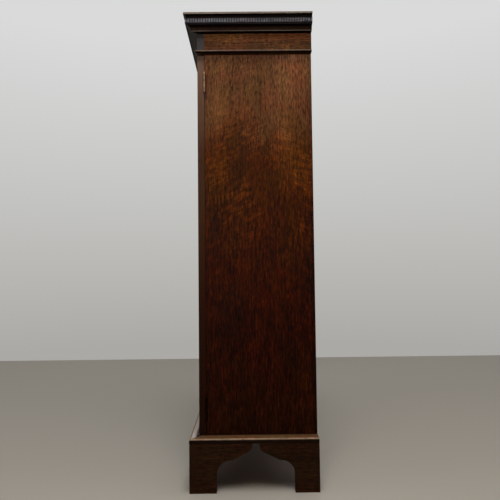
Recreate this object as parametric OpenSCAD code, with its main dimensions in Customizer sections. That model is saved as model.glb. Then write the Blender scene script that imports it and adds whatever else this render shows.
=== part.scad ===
// Oak display cabinet with a dentil cornice, bracket feet and a pair of glazed doors.
// The origin is on the floor under the middle of the cornice. Front is -Y, up is +Z.

/* [Case] */
// Width over the two side panels
case_w = 1060; // [900:10:1120]
// Depth of the side panels
case_d = 356; // [320:2:400]
// Height of the whole cabinet
total_h = 1530; // [1480:5:1600]
// Thickness of the side panels
side_t = 20; // [18:1:24]
// Thickness of the top and bottom boards
board_t = 22; // [18:1:25]
// Depth of the housings that hold the top and bottom boards
housing_d = 8; // [5:1:10]
// How far the top board rises behind the frieze
top_board_rise = 8; // [4:1:12]
// Thickness of the back boards
back_t = 12; // [9:1:15]
// Width of the rebate that the back boards stand in
back_rebate_w = 10; // [8:1:12]
// Number of back boards
back_count = 4; // [3:1:5]
// Thickness of the tongues of the back boards
tongue_t = 4; // [3:0.5:4.5]
// Length of the tongues of the back boards
tongue_l = 6; // [4:1:8]
// Thickness of the dust board
dust_t = 10; // [8:1:12]

/* [Shelves] */
// Thickness of a shelf
shelf_t = 18; // [15:1:22]
// Number of shelves
shelf_count = 3; // [2:1:3]
// Distance from the case front to the shelves
shelf_setback = 12; // [10:1:20]
// Gap at each end of a shelf
shelf_gap = 1; // [0.5:0.5:2]
// Radius of the stud of a shelf peg
peg_r = 3.4; // [3:0.1:4]
// Length of the stud inside the side panel
peg_l = 9; // [7:1:10]
// Depth of the peg holes
peg_hole_l = 10; // [10:1:12]
// Distance that a peg's pad stands out of the side
pad_l = 12; // [9:1:15]
// Width of a peg's pad
pad_w = 11; // [9:1:14]
// Thickness of a peg's pad
pad_t = 2.5; // [2:0.5:3]
// Distance from the front and back edges of a shelf to its pegs
peg_inset = 50; // [35:5:70]
// Spare peg holes above and below each shelf
spare_holes = 1; // [0:1:2]
// Height between the peg holes of a shelf
peg_pitch = 38; // [30:2:50]

/* [Frieze and cornice] */
// Thickness of the frieze boards on the sides
frieze_t = 14; // [10:1:18]
// Height of the frieze that shows
frieze_show = 56.5; // [45:0.5:70]
// Height of the round-nosed bead under the frieze
bead_h = 8.5; // [7:0.5:12]
// How far the bead stands out of the frieze
bead_q = 7.5; // [6:0.5:14]
// Height of the hollow bed mould
bed_h = 16; // [12:0.5:20]
// Height of the lower fillet of the bed mould
bed_fillet_h = 2.5; // [2:0.5:5]
// How far the lower fillet of the bed mould stands out
bed_fillet_q = 15.5; // [12:0.5:20]
// Step from the fillet to the hollow
bed_step = 1; // [0.5:0.5:2]
// How far the core of the dentil strip stands out
dentil_core_q = 31; // [28:1:40]
// Height of the dentil strip
dentil_h = 18; // [15:0.5:24]
// Height of the flat under the dentils
dentil_base_h = 3; // [1:0.5:4]
// How far the dentils stand out of their strip
dentil_q = 4; // [3:0.5:5]
// Width of one dentil
dentil_w = 5.5; // [4:0.5:8]
// Gap between dentils, before they are spread evenly
dentil_gap = 3; // [2.5:0.5:5]
// How far the crown mould stands out of the frieze
crown_q = 40; // [38:1:50]
// Height of the crown mould
crown_h = 19; // [17:0.5:22]
// Height of the top fillet of the crown mould
crown_fillet_h = 7; // [5:0.5:8]
// Radius of the hollow under the top fillet
crown_hollow_r = 9; // [6:0.5:9]
// Radius of the rounded top edge
crown_round_r = 2.5; // [1.5:0.5:4]
// Thickness of the crown mould over the frieze boards
crown_cap_t = 10; // [8:1:12]

/* [Base] */
// Height of the bracket feet
foot_h = 152; // [140:1:165]
// Thickness of the base mould
base_t = 14; // [12:1:18]
// Width of the base mould boards
base_w = 70; // [66:1:85]
// Radius of the rounded edge of the base mould
base_round_r = 8; // [4:1:10]
// How far the base stands out of the sides
base_side_q = 44; // [38:1:50]
// How far the base stands out of the door faces
base_front_q = 28; // [22:1:34]
// How far the bracket boards sit back from the edge of the base mould
bracket_back = 0.8; // [0:0.1:2]
// Thickness of the bracket boards
bracket_t = 22; // [18:1:24]
// Width of a foot at the floor
foot_w = 81; // [70:1:95]
// Slot between the tips of two side brackets
tip_slot = 22; // [12:1:28]
// How far the cut-out of a side sits behind the middle of its feet
arch_shift = 4; // [0:0.5:8]
// Radius of the corner of the bracket's cut-out
arch_r = 44; // [30:1:50]
// Height of the flat part of the cut-out
arch_h = 100.5; // [90:0.5:110]
// Length of the flat part of the cut-out
arch_flat = 5; // [2:1:18]
// Rise of the step beside the flat part
step_h = 3.5; // [2:0.5:5]
// Length of that step
step_l = 6; // [5:0.5:10]
// Radius of the hollow under the bracket's tip
tip_r = 24; // [20:1:32]
// Height of the upright end of the tip
tip_end_h = 5; // [3:1:8]
// Width of a rear bracket at its top
rear_bracket_w = 150; // [120:5:200]
// Width of the corner blocks
block_w = 36; // [28:1:42]
// Gap between a corner block and the floor
block_lift = 3; // [2:1:6]

/* [Doors] */
// Thickness of the doors
door_t = 22.5; // [20:0.5:26]
// Gap between the doors and the case front
door_gap = 1.5; // [1:0.5:2]
// Gap above and below the doors
door_end_gap = 2; // [1.5:0.5:3]
// Gap between the two doors
meet_gap = 1.5; // [1.5:0.5:3]
// How far the front frieze sits behind the door faces
frieze_set_back = 0; // [0:0.5:8]
// Width of the stiles
stile_w = 48; // [46:1:60]
// Width of the top rail
top_rail_w = 55; // [48:1:70]
// Width of the bottom rail
bottom_rail_w = 70; // [55:1:90]
// Length of a tenon
tenon_l = 28; // [20:1:34]
// Thickness of a tenon
tenon_t = 6; // [5:0.5:7]
// Shoulder above and below a tenon
tenon_shoulder = 14; // [12:1:16]
// Clearance round a tenon in its mortise
tenon_fit = 0.1; // [0.05:0.05:0.2]
// Depth of the glass rebate, from the back of the door
rebate_d = 12; // [11:0.5:13]
// Width of the glass rebate
rebate_w = 8; // [7:0.5:10]
// Radius of the ovolo edge round the glass
ovolo_r = 5; // [3:0.5:6]
// Depth of the fillet beside the ovolo
ovolo_step = 1; // [0.5:0.5:1.5]

/* [Glazing] */
// Thickness of the glass
glass_t = 3; // [2:0.5:4]
// Gap between a pane and the wood round it
glass_gap = 0.5; // [0.3:0.1:1]
// Radius of the half-round face of a glazing bar
bar_r = 7; // [6:0.5:8]
// Thickness of the rib behind a glazing bar
rib_t = 4; // [3:0.5:5]
// Depth of the rib behind the bar's face
rib_d = 7.5; // [6:0.5:10]
// Step in radius between the families of glazing bars that meet at a joint
bar_step = 0.1; // [0.05:0.05:0.2]
// Width between the two uprights of the lattice
lattice_w = 190; // [150:5:220]
// Height of the straight sides of the middle hexagon
hexagon_h = 350; // [280:10:420]
// Rise of one sloping bar
slope_h = 130; // [90:5:150]
// Gap between a glazing bead and the wood round it
bead_gap = 0.3; // [0.2:0.1:0.5]
// Gap between the back of the beads and the back of the door
bead_back = 0.5; // [0.5:0.5:1]

/* [Hinges] */
// Length of a hinge
hinge_l = 66; // [50:1:80]
// Distance from the bottom of a door to its lower hinge
low_hinge_inset = 46; // [40:1:80]
// Distance from the top of a door to its upper hinge
top_hinge_inset = 56.5; // [40:0.5:80]
// Radius of the hinge knuckles
knuckle_r = 4; // [3.5:0.1:4.5]
// Gap between the knuckles and the side of the case
knuckle_gap = 0.3; // [0.3:0.1:0.6]
// Gap between two knuckles
knuckle_split = 0.2; // [0.2:0.1:0.5]
// Radius of a hinge pin
pin_r = 1.5; // [1.2:0.1:1.8]
// Radial clearance of a hinge pin in the knuckles
pin_fit = 0.05; // [0.03:0.01:0.08]
// Radius of the heads of a hinge pin
pin_head_r = 3; // [2.5:0.1:3.5]
// Height of the heads of a hinge pin
pin_head_h = 2; // [1.5:0.5:3]
// Thickness of a hinge leaf
leaf_t = 1.6; // [1.4:0.1:1.8]
// Width of a hinge leaf
leaf_w = 16; // [13:1:17]
// Gap between a leaf and the edges of its recess
leaf_gap = 0.1; // [0.05:0.05:0.2]

/* [Lock] */
// Height of the lock over the bottom of the door
lock_z = 600; // [450:10:700]
// Width of the lock case
lock_w = 34; // [32:1:36]
// Height of the lock case
lock_h = 54; // [48:1:64]
// Depth of the lock case
lock_d = 11; // [11:0.5:11.5]
// Wall of the lock case
lock_wall = 1; // [0.8:0.1:1.2]
// Thickness of the plate on the edge of the stile
selvedge_t = 2; // [1.5:0.5:2.5]
// Height of that plate
selvedge_h = 72; // [68:1:84]
// Distance from the stile's edge to the key
key_setback = 20; // [19:1:22]
// Height of the lock bolt
bolt_h = 10; // [8:1:11]
// Thickness of the lock bolt
bolt_t = 4.5; // [4:0.5:5]
// Length of the lock bolt
bolt_l = 24; // [20:1:26]
// Travel of the lock bolt
bolt_travel = 8; // [6:0.5:9]
// Clearance of the lock bolt in its slot
bolt_fit = 0.1; // [0.05:0.05:0.2]
// Height from the key to the lock bolt
bolt_rise = 4; // [3.5:0.5:6]
// Gap round the lock bolt in its mortise in the left door
bolt_mortise_gap = 0.6; // [0.4:0.1:1]
// Radius of the key's shank
key_r = 2.2; // [1.8:0.1:2.6]
// Reach of the key's bit from the key's axis
bit_r = 6.5; // [5.5:0.5:7]
// Thickness of the key's bit
bit_t = 2; // [1.5:0.1:2.4]
// Depth of the key's bit along the shank
bit_d = 1.8; // [1.5:0.1:2]
// Clearance of the key in the plates of the lock
key_fit = 0.08; // [0.04:0.01:0.1]
// Radius of the ring of the key's bow, to the middle of its wire
bow_r = 8; // [6:0.5:9]
// Radius of the wire of the key's bow
bow_wire_r = 1.6; // [1.2:0.1:2]
// Distance from the door face to the key's collar
collar_gap = 2.5; // [2:0.5:4]
// Radius of the round part of the keyhole in the wood
keyhole_r = 3.2; // [2.9:0.1:3.6]
// Thickness of the escutcheon
escutcheon_t = 1.2; // [1:0.1:1.6]
// Radius of the round ends of the escutcheon
escutcheon_r = 9; // [8:0.5:12]
// Distance between the centres of those round ends
escutcheon_l = 16; // [10:1:22]

/* [Bolts of the left door] */
// Length of a bolt's back plate
plate_l = 62; // [56:1:80]
// Width of a bolt's back plate
plate_w = 16; // [14:1:20]
// Thickness of a bolt's back plate
plate_t = 1.4; // [1:0.1:2]
// Distance from the edge of the stile to the middle of a bolt
rod_setback = 22; // [16:1:28]
// Radius of a bolt's rod
rod_r = 2.5; // [2:0.1:3]
// Radial clearance of a rod in its guides
rod_fit = 0.05; // [0.03:0.01:0.08]
// Distance from the back of the door to the middle of the rod
rod_off = 8.5; // [8.5:0.5:10]
// Height of a guide along the rod
guide_l = 7; // [5:1:9]
// Width of a guide
guide_w = 9; // [8:0.5:11]
// Travel of a bolt
rod_travel = 12; // [8:1:14]
// Gap between a bolt at rest and the case
rod_rest_gap = 1.5; // [1:0.5:2.5]
// Clearance round a rod in its hole in the case
rod_hole_gap = 1.2; // [0.5:0.1:2]
// Radius of the thumb knob of a bolt
thumb_r = 3; // [2.5:0.5:4]
// Length of the thumb knob of a bolt
thumb_l = 7; // [5:1:9]

/* [Hidden] */
$fn = 48;
over = 1;
oak = "#4a2a18";
oak_dark = "#2c1810";
oak_inside = "#7a5232";
brass = "#b08d4a";
iron = "#3b3733";

depth = case_d + door_gap + door_t - frieze_set_back + crown_q;
back_y = depth / 2;
case_y = back_y - case_d;
door_back_y = case_y - door_gap;
door_y = door_back_y - door_t;
side_x = case_w / 2;
inner_x = side_x - side_t;
frieze_y = door_y + frieze_set_back;
frieze_x = side_x + frieze_t;
front_frieze_t = case_y - frieze_y;

crown_z = total_h - crown_h;
dentil_z = crown_z - dentil_h;
bed_z = dentil_z - bed_h;
frieze_z = bed_z - frieze_show - bead_h;
frieze_top = total_h - crown_cap_t;
side_top = frieze_top - dust_t;
base_z = foot_h + base_t;
base_x = side_x + base_side_q;
base_y = door_y - base_front_q;
bracket_x = base_x - bracket_back;
bracket_y = base_y + bracket_back;

bottom_top = base_z + board_t;
top_z = frieze_z + top_board_rise;
top_under = top_z - board_t;
back_x = inner_x + back_rebate_w;
back_front_y = back_y - back_t;

door_z = base_z + door_end_gap;
door_h = frieze_z - door_end_gap - door_z;
door_w = side_x - meet_gap / 2;
sight_w = door_w - 2 * stile_w;
sight_h = door_h - top_rail_w - bottom_rail_w;
sight_x0 = stile_w;
sight_x1 = door_w - stile_w;
sight_z0 = bottom_rail_w;
sight_z1 = door_h - top_rail_w;
shoulder_y = door_t - rebate_d;

axis_x = side_x + knuckle_gap + knuckle_r;
axis_y = case_y - door_gap / 2;
hinge_zs = [low_hinge_inset, door_h - top_hinge_inset - hinge_l];
knuckle_count = 5;
knuckle_l = hinge_l / knuckle_count;

shelf_room = (top_under - bottom_top - shelf_count * shelf_t) / (shelf_count + 1);
function shelf_z(i) = bottom_top + i * shelf_room + (i - 1) * shelf_t;
shelf_y0 = case_y + shelf_setback;
shelf_y1 = back_front_y - shelf_gap;
peg_ys = [shelf_y0 + peg_inset, shelf_y1 - peg_inset];

bolt_y = door_t - lock_wall - bolt_t - 2;
bit_y = bolt_y - bit_d - 0.2;
rod_top_rest = top_under - rod_rest_gap;
rod_bottom_rest = bottom_top + rod_rest_gap;

// Mirrors what is drawn for the right-hand side to the left when hand is -1.
module hand(side) {
    if (side > 0) {
        children();
    } else {
        mirror([1, 0, 0]) children();
    }
}

// Plan of the front run of a moulding, cut at 45 degrees through the corner (cx, cy).
module front_plan(cx, cy, reach = 90) {
    polygon([
        [-cx - reach, cy - reach],
        [cx + reach, cy - reach],
        [cx - reach, cy + reach],
        [-cx + reach, cy + reach]
    ]);
}

// Plan of the right-hand run of a moulding, from the mitre to the back of the case.
module side_plan(cx, cy, reach = 90) {
    polygon([
        [cx + reach, cy - reach],
        [cx + reach, back_y],
        [cx - reach, back_y],
        [cx - reach, cy + reach]
    ]);
}

// A moulding along the front: the child is its section, x outwards from the face at cy and y up from z0.
module front_run(cx, cy, z0) {
    intersection() {
        translate([-cx - 80, cy, z0])
            mirror([0, 1, 0])
                rotate([90, 0, 90])
                    linear_extrude(2 * cx + 160) children();
        linear_extrude(total_h + over) front_plan(cx, cy);
    }
}

// The same moulding along the right-hand side, outwards from the face at cx.
module side_run(cx, cy, z0) {
    intersection() {
        translate([cx, back_y, z0])
            rotate([90, 0, 0])
                linear_extrude(back_y - cy + 80) children();
        linear_extrude(total_h + over) side_plan(cx, cy);
    }
}

// Draws one of the three runs of a moulding that goes round the case.
module run(place, cx, cy, z0) {
    if (place == "front") {
        front_run(cx, cy, z0) children();
    } else {
        hand(place == "right" ? 1 : -1) side_run(cx, cy, z0) children();
    }
}

// Case

module peg_holes() {
    for (i = [1 : shelf_count], k = [-spare_holes : spare_holes], y = peg_ys)
        translate([inner_x - over, y, shelf_z(i) - pad_t - peg_r + k * peg_pitch])
            rotate([0, 90, 0])
                cylinder(r = peg_r + pin_fit, h = peg_hole_l + over);
}

module side_panel() {
    difference() {
        translate([inner_x, case_y, base_z])
            cube([side_t, case_d, side_top - base_z]);
        translate([inner_x - over, back_front_y, base_z - over])
            cube([back_rebate_w + over, back_t + over, side_top - base_z + 2 * over]);
        translate([inner_x - over, case_y - over, base_z - over])
            cube([housing_d + over, back_front_y - case_y + over, board_t + over]);
        translate([inner_x - over, case_y - over, top_under])
            cube([housing_d + over, back_front_y - case_y + over, board_t]);
        peg_holes();
        for (z = hinge_zs)
            translate([side_x - leaf_w - leaf_gap, case_y - over, door_z + z - leaf_gap])
                cube([leaf_w + leaf_gap + over, leaf_t + over, hinge_l + 2 * leaf_gap]);
    }
}

module side_left() {
    color(oak) hand(-1) side_panel();
}

module side_right() {
    color(oak) side_panel();
}

module housed_board(z) {
    translate([-inner_x - housing_d, case_y, z])
        cube([2 * (inner_x + housing_d), back_front_y - case_y, board_t]);
}

// Centre of the left door's bolts, seen from above.
rod_x = -meet_gap / 2 - rod_setback;
rod_y = door_back_y + rod_off;

module case_bottom() {
    color(oak_inside)
        difference() {
            housed_board(base_z);
            translate([rod_x, rod_y, base_z + over])
                cylinder(r = rod_r + rod_hole_gap, h = board_t);
        }
}

module case_top() {
    color(oak_inside)
        difference() {
            housed_board(top_under);
            translate([rod_x, rod_y, top_under - over])
                cylinder(r = rod_r + rod_hole_gap, h = board_t);
        }
}

back_w = 2 * back_x / back_count;

module back_board(i) {
    x0 = -back_x + (i - 1) * back_w;
    tongue_y = back_front_y + (back_t - tongue_t) / 2;
    color(oak_inside)
        difference() {
            union() {
                translate([x0, back_front_y, base_z])
                    cube([back_w, back_t, side_top - base_z]);
                if (i < back_count)
                    translate([x0 + back_w - over, tongue_y, base_z])
                        cube([tongue_l + over, tongue_t, side_top - base_z]);
            }
            if (i > 1)
                translate([x0 - over, tongue_y - tenon_fit, base_z - over])
                    cube([tongue_l + tenon_fit + over, tongue_t + 2 * tenon_fit,
                        side_top - base_z + 2 * over]);
        }
}

module shelf(i) {
    color(oak_inside)
        translate([-inner_x + shelf_gap, shelf_y0, shelf_z(i)])
            cube([2 * (inner_x - shelf_gap), shelf_y1 - shelf_y0, shelf_t]);
}

// One brass peg: a stud in the side and a pad under the shelf.
module shelf_peg() {
    translate([inner_x + peg_l, 0, -pad_t - peg_r])
        rotate([0, -90, 0])
            cylinder(r = peg_r, h = peg_l);
    translate([inner_x - pad_l, -pad_w / 2, -pad_t])
        cube([pad_l, pad_w, pad_t]);
    translate([inner_x - pad_t, -pad_w / 2, -pad_t - 2 * peg_r])
        cube([pad_t, pad_w, pad_t + 2 * peg_r]);
}

module shelf_pegs() {
    color(brass)
        for (side = [-1, 1], i = [1 : shelf_count], y = peg_ys)
            hand(side) translate([0, y, shelf_z(i)]) shelf_peg();
}

module dust_board() {
    color(oak_inside)
        translate([-side_x, case_y, side_top])
            cube([case_w, case_d, dust_t]);
}

// Frieze and cornice

module frieze(place) {
    color(oak)
        if (place == "front") {
            translate([-frieze_x, frieze_y, frieze_z])
                cube([2 * frieze_x, front_frieze_t, frieze_top - frieze_z]);
        } else {
            hand(place == "right" ? 1 : -1)
                translate([side_x, case_y, frieze_z])
                    cube([frieze_t, case_d, frieze_top - frieze_z]);
        }
}

module astragal_section() {
    nose_r = bead_h / 2;
    square([bead_q - nose_r, bead_h]);
    intersection() {
        translate([bead_q - nose_r, nose_r]) circle(r = nose_r);
        square([bead_q, bead_h]);
    }
}

module bed_mould_section() {
    hollow_r = bed_h - bed_fillet_h;
    difference() {
        square([bed_fillet_q + bed_step + hollow_r, bed_h]);
        translate([bed_fillet_q + bed_step + hollow_r, bed_fillet_h])
            circle(r = hollow_r);
        translate([bed_fillet_q, -over])
            square([hollow_r + bed_step + over, bed_fillet_h + over]);
    }
    square([bed_fillet_q + bed_step, bed_fillet_h]);
}

module crown_mould_section() {
    hollow_z = crown_h - crown_fillet_h - crown_hollow_r;
    difference() {
        union() {
            square([crown_q, crown_h]);
            translate([-frieze_t, crown_h - crown_cap_t])
                square([frieze_t + crown_q, crown_cap_t]);
        }
        translate([crown_q, hollow_z]) circle(r = crown_hollow_r);
        translate([crown_q - crown_hollow_r, -over])
            square([crown_hollow_r + over, hollow_z + over]);
        difference() {
            translate([crown_q - crown_round_r, crown_h - crown_round_r])
                square([crown_round_r + over, crown_round_r + over]);
            translate([crown_q - crown_round_r, crown_h - crown_round_r])
                circle(r = crown_round_r);
        }
    }
}

module astragal(place) {
    color(oak_dark) run(place, frieze_x, frieze_y, frieze_z) astragal_section();
}

module bed_mould(place) {
    color(oak_dark) run(place, frieze_x, frieze_y, bed_z) bed_mould_section();
}

module crown_mould(place) {
    color(oak_dark) run(place, frieze_x, frieze_y, crown_z) crown_mould_section();
}

// Points along a row of dentils of length l from the origin, starting and ending on a tooth.
function dentil_row(l) =
    let (n = max(2, floor((l - dentil_w) / (dentil_w + dentil_gap)) + 1),
         pitch = (l - dentil_w) / (n - 1))
    [for (i = [0 : n - 1], p = [[0, 0], [0, 1], [1, 1], [1, 0]])
        [i * pitch + p[0] * dentil_w, p[1] * dentil_q]];

// Plan of the front row of dentils; its ends run from the inner to the outer mitre corner.
module dentil_front_plan() {
    outer = dentil_core_q + dentil_q;
    l = 2 * (frieze_x + outer);
    row = dentil_row(l);
    polygon(concat(
        [[-frieze_x, frieze_y]],
        [for (i = [1 : len(row) - 2])
            [row[i][0] - l / 2, frieze_y - dentil_core_q - row[i][1]]],
        [[frieze_x, frieze_y]]
    ));
}

// Plan of the right-hand row of dentils, from the mitre to the back.
module dentil_side_plan() {
    outer = dentil_core_q + dentil_q;
    l = back_y - frieze_y + outer;
    row = dentil_row(l);
    polygon(concat(
        [[frieze_x, frieze_y]],
        [for (i = [1 : len(row) - 1])
            [frieze_x + dentil_core_q + row[i][1], frieze_y - outer + row[i][0]]],
        [[frieze_x, back_y]]
    ));
}

module dentil_strip(place) {
    color(oak_dark) {
        run(place, frieze_x, frieze_y, dentil_z)
            square([dentil_core_q, dentil_base_h]);
        translate([0, 0, dentil_z + dentil_base_h])
            linear_extrude(dentil_h - dentil_base_h)
                if (place == "front") {
                    dentil_front_plan();
                } else if (place == "right") {
                    dentil_side_plan();
                } else {
                    mirror([1, 0]) dentil_side_plan();
                }
    }
}

// Base

module base_mould_section() {
    difference() {
        translate([-base_w, 0]) square([base_w, base_t]);
        difference() {
            translate([-base_round_r, base_t - base_round_r])
                square([base_round_r + over, base_round_r + over]);
            translate([-base_round_r, base_t - base_round_r])
                circle(r = base_round_r);
        }
    }
}

module base_mould(place) {
    color(oak_dark) run(place, base_x, base_y, foot_h) base_mould_section();
}

// Length of a bracket board from the corner of the base to its tip, without the shift.
bracket_l = (back_y - bracket_y - tip_slot) / 2;

// Face of a bracket board: x from the foot's outer edge to the tip, y up from the floor.
// The shift makes the foot wider and moves the tip with it.
module bracket_face(shift) {
    tip_x = bracket_l + shift;
    foot_x = foot_w + shift;
    tip_c = [tip_x - tip_r, foot_h - tip_end_h];
    cusp_x = foot_x + arch_r + arch_flat + step_l;
    cusp_z = arch_h + step_h;
    // The straight slope leaves the cusp and meets the hollow of the tip at a tangent.
    dx = tip_c[0] - cusp_x;
    dz = tip_c[1] - cusp_z;
    reach = sqrt(dx * dx + dz * dz);
    lean = atan2(dz, dx) - asin(tip_r / reach);
    run_l = sqrt(reach * reach - tip_r * tip_r);
    touch = [cusp_x + run_l * cos(lean), cusp_z + run_l * sin(lean)];
    difference() {
        square([tip_x, foot_h]);
        difference() {
            polygon([
                [foot_x, -over],
                [foot_x, arch_h - arch_r],
                [foot_x + arch_r, arch_h],
                [foot_x + arch_r + arch_flat, arch_h],
                [cusp_x, cusp_z],
                touch,
                tip_c,
                [tip_x, tip_c[1]],
                [tip_x + over, tip_c[1]],
                [tip_x + over, -over]
            ]);
            translate(tip_c) circle(r = tip_r);
        }
        intersection() {
            translate([foot_x + arch_r, arch_h - arch_r]) circle(r = arch_r);
            translate([foot_x, 0]) square([arch_r, arch_h]);
        }
    }
}

// Boards across the front of the front feet.
module front_brackets() {
    color(oak_dark)
        for (side = [-1, 1])
            hand(side)
                translate([bracket_x, bracket_y + bracket_t, 0])
                    mirror([1, 0, 0])
                        rotate([90, 0, 0])
                            linear_extrude(bracket_t) bracket_face(arch_shift);
}

// Boards on the sides: the front one butts against the back of the front board.
module bracket_side(side, end) {
    color(oak_dark)
        hand(side)
            intersection() {
                if (end == "front") {
                    translate([bracket_x - bracket_t, bracket_y, 0])
                        rotate([90, 0, 90])
                            linear_extrude(bracket_t) bracket_face(arch_shift);
                } else {
                    translate([bracket_x, back_y, 0])
                        rotate([90, 0, -90])
                            linear_extrude(bracket_t) bracket_face(-arch_shift);
                }
                translate([0, bracket_y + bracket_t, 0])
                    cube([bracket_x, back_y - bracket_y - bracket_t, foot_h]);
            }
}

// Plain boards across the back of the rear feet.
module rear_brackets() {
    color(oak_inside)
        for (side = [-1, 1])
            hand(side)
                translate([bracket_x - bracket_t, back_y, 0])
                    mirror([1, 0, 0])
                        rotate([90, 0, 0])
                            linear_extrude(bracket_t)
                                polygon([
                                    [0, 0],
                                    [foot_w - arch_shift - bracket_t, 0],
                                    [foot_w - arch_shift - bracket_t, arch_h - arch_r],
                                    [rear_bracket_w, foot_h],
                                    [0, foot_h]
                                ]);
}

module corner_blocks() {
    x = bracket_x - bracket_t - block_w;
    color(oak_inside)
        for (side = [-1, 1], y = [bracket_y + bracket_t, back_y - bracket_t - block_w])
            hand(side)
                translate([x, y, block_lift])
                    cube([block_w, block_w, foot_h - block_lift]);
}

// Doors. Each piece is drawn in the right-hand door's own frame: x from the meeting edge to the
// hinged edge, y from the front face to the back, z up from the bottom edge.

module in_door(side) {
    hand(side) translate([meet_gap / 2, door_y, door_z]) children();
}

// What the ovolo takes off one edge of the glass opening, in section: x into the wood, y from the face.
module ovolo_section() {
    translate([-over, -over]) square([ovolo_r + over, ovolo_step + over]);
    difference() {
        translate([-over, -over]) square([ovolo_r + over, ovolo_step + ovolo_r + over]);
        translate([ovolo_r, ovolo_step + ovolo_r]) circle(r = ovolo_r);
    }
}

// Trapezium with 45 degree ends along one edge of an opening, in the x-z plane.
module mitre_block(l, reach) {
    translate([0, door_t, 0])
        rotate([90, 0, 0])
            linear_extrude(door_t + 2 * over)
                polygon([[over, -over], [-reach, -reach], [-reach, l + reach], [over, l + over]]);
}

module ovolo_edge(l) {
    intersection() {
        translate([0, 0, -2 * ovolo_r])
            mirror([1, 0, 0])
                linear_extrude(l + 4 * ovolo_r) ovolo_section();
        mitre_block(l, 2 * ovolo_r);
    }
}

module glass_opening() {
    translate([sight_x0, -over, sight_z0])
        cube([sight_w, door_t + 2 * over, sight_h]);
    translate([sight_x0 - rebate_w, shoulder_y, sight_z0 - rebate_w])
        cube([sight_w + 2 * rebate_w, rebate_d + over, sight_h + 2 * rebate_w]);
    translate([sight_x0, 0, sight_z0]) ovolo_edge(sight_h);
    translate([sight_x1, 0, sight_z1]) rotate([0, 180, 0]) ovolo_edge(sight_h);
    translate([sight_x0, 0, sight_z1]) rotate([0, 90, 0]) ovolo_edge(sight_w);
    translate([sight_x1, 0, sight_z0]) rotate([0, -90, 0]) ovolo_edge(sight_w);
}

tenon_y = (shoulder_y - tenon_t) / 2 + ovolo_step;

// Bottoms and heights of the two tenons.
tenon_zs = [[tenon_shoulder, bottom_rail_w - 2 * tenon_shoulder],
            [door_h - top_rail_w + tenon_shoulder, top_rail_w - 2 * tenon_shoulder]];

module mortises(x0) {
    for (z = tenon_zs)
        translate([x0, tenon_y - tenon_fit, z[0] - tenon_fit])
            cube([tenon_l + over, tenon_t + 2 * tenon_fit, z[1] + 2 * tenon_fit]);
}

module leaf_recesses() {
    for (z = hinge_zs)
        translate([door_w - leaf_w - leaf_gap, door_t - leaf_t, z - leaf_gap])
            cube([leaf_w + leaf_gap + over, leaf_t + over, hinge_l + 2 * leaf_gap]);
}

module hinge_stile(side) {
    color(oak)
        in_door(side)
            difference() {
                translate([sight_x1, 0, 0]) cube([stile_w, door_t, door_h]);
                glass_opening();
                mortises(sight_x1 - over);
                leaf_recesses();
            }
}

// Round hole with a slot below it, along y from y0.
module keyhole(r, slot_w, y0, l) {
    translate([key_setback, y0 + l, lock_z])
        rotate([90, 0, 0])
            cylinder(r = r, h = l);
    translate([key_setback - slot_w / 2, y0, lock_z - bit_r - 2 * key_fit])
        cube([slot_w, l, bit_r + 2 * key_fit]);
}

bolt_z = lock_z + bolt_rise;

module bolt_bar(x0, grow) {
    translate([x0, bolt_y - grow, bolt_z - grow])
        cube([bolt_l, bolt_t + 2 * grow, bolt_h + 2 * grow]);
}

lock_y = door_t - lock_d;

module lock_body(grow) {
    translate([selvedge_t, lock_y - grow, lock_z - lock_h / 2 - grow])
        cube([lock_w + grow, lock_d + over, lock_h + 2 * grow]);
}

module selvedge(grow) {
    translate([-over, lock_y - over - grow, lock_z - selvedge_h / 2 - grow])
        cube([selvedge_t + over, lock_d + 2 * over + grow, selvedge_h + 2 * grow]);
}

module meeting_stile(side) {
    color(oak)
        in_door(side)
            difference() {
                cube([stile_w, door_t, door_h]);
                glass_opening();
                mortises(stile_w - tenon_l);
                if (side > 0) {
                    lock_body(leaf_gap);
                    selvedge(leaf_gap);
                    keyhole(keyhole_r, bit_t + 1, -over, lock_y + 2 * over);
                } else {
                    bolt_bar(bolt_travel + over - bolt_l - meet_gap, bolt_mortise_gap);
                }
            }
}

module rails(side) {
    color(oak)
        in_door(side)
            difference() {
                union() {
                    translate([sight_x0, 0, 0]) cube([sight_w, door_t, bottom_rail_w]);
                    translate([sight_x0, 0, sight_z1]) cube([sight_w, door_t, top_rail_w]);
                    for (z = tenon_zs)
                        translate([sight_x0 - tenon_l + tenon_fit, tenon_y, z[0]])
                            cube([sight_w + 2 * (tenon_l - tenon_fit), tenon_t, z[1]]);
                }
                glass_opening();
            }
}

// Glazing. The lattice has thirteen panes: a tall hexagon in the middle, five panes on each
// side of it, and one above and one below. Points are measured from the middle of the glass.

hex_z = hexagon_h / 2;
upper_z = hex_z + 2 * slope_h;
half_w = lattice_w / 2;
joint_r = bar_r + 5 * bar_step;

// Each bar is [start, end, whether its end stands on the frame, steps by which it is thinner].
lattice = concat(
    [for (sx = [-1, 1]) [[sx * half_w, -hex_z], [sx * half_w, hex_z], false, 1]],
    [for (sx = [-1, 1], sz = [-1, 1])
        [[sx * half_w, sz * upper_z], [sx * half_w, sz * sight_h / 2], true, 1]],
    [for (sx = [-1, 1], sz = [-1, 1])
        [[sx * half_w, sz * hex_z], [-sx * half_w, sz * upper_z], false, 2]],
    [for (sx = [-1, 1], sz = [-1, 1], z = [hex_z, upper_z])
        [[sx * half_w, sz * z], [sx * sight_w / 2, sz * z], true, 3]]
);

// Half of a round, on the front of the glass.
module front_half() {
    difference() {
        circle(r = $r);
        translate([-$r - over, 0]) square([2 * ($r + over), $r + over]);
    }
}

// Half-round bar of radius r from start to end.
module bar(b, r) {
    d = b[1] - b[0];
    translate([b[0][0], 0, b[0][1]])
        rotate([0, atan2(d[0], d[1]), 0])
            linear_extrude(norm(d))
                front_half($r = r);
}

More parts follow.
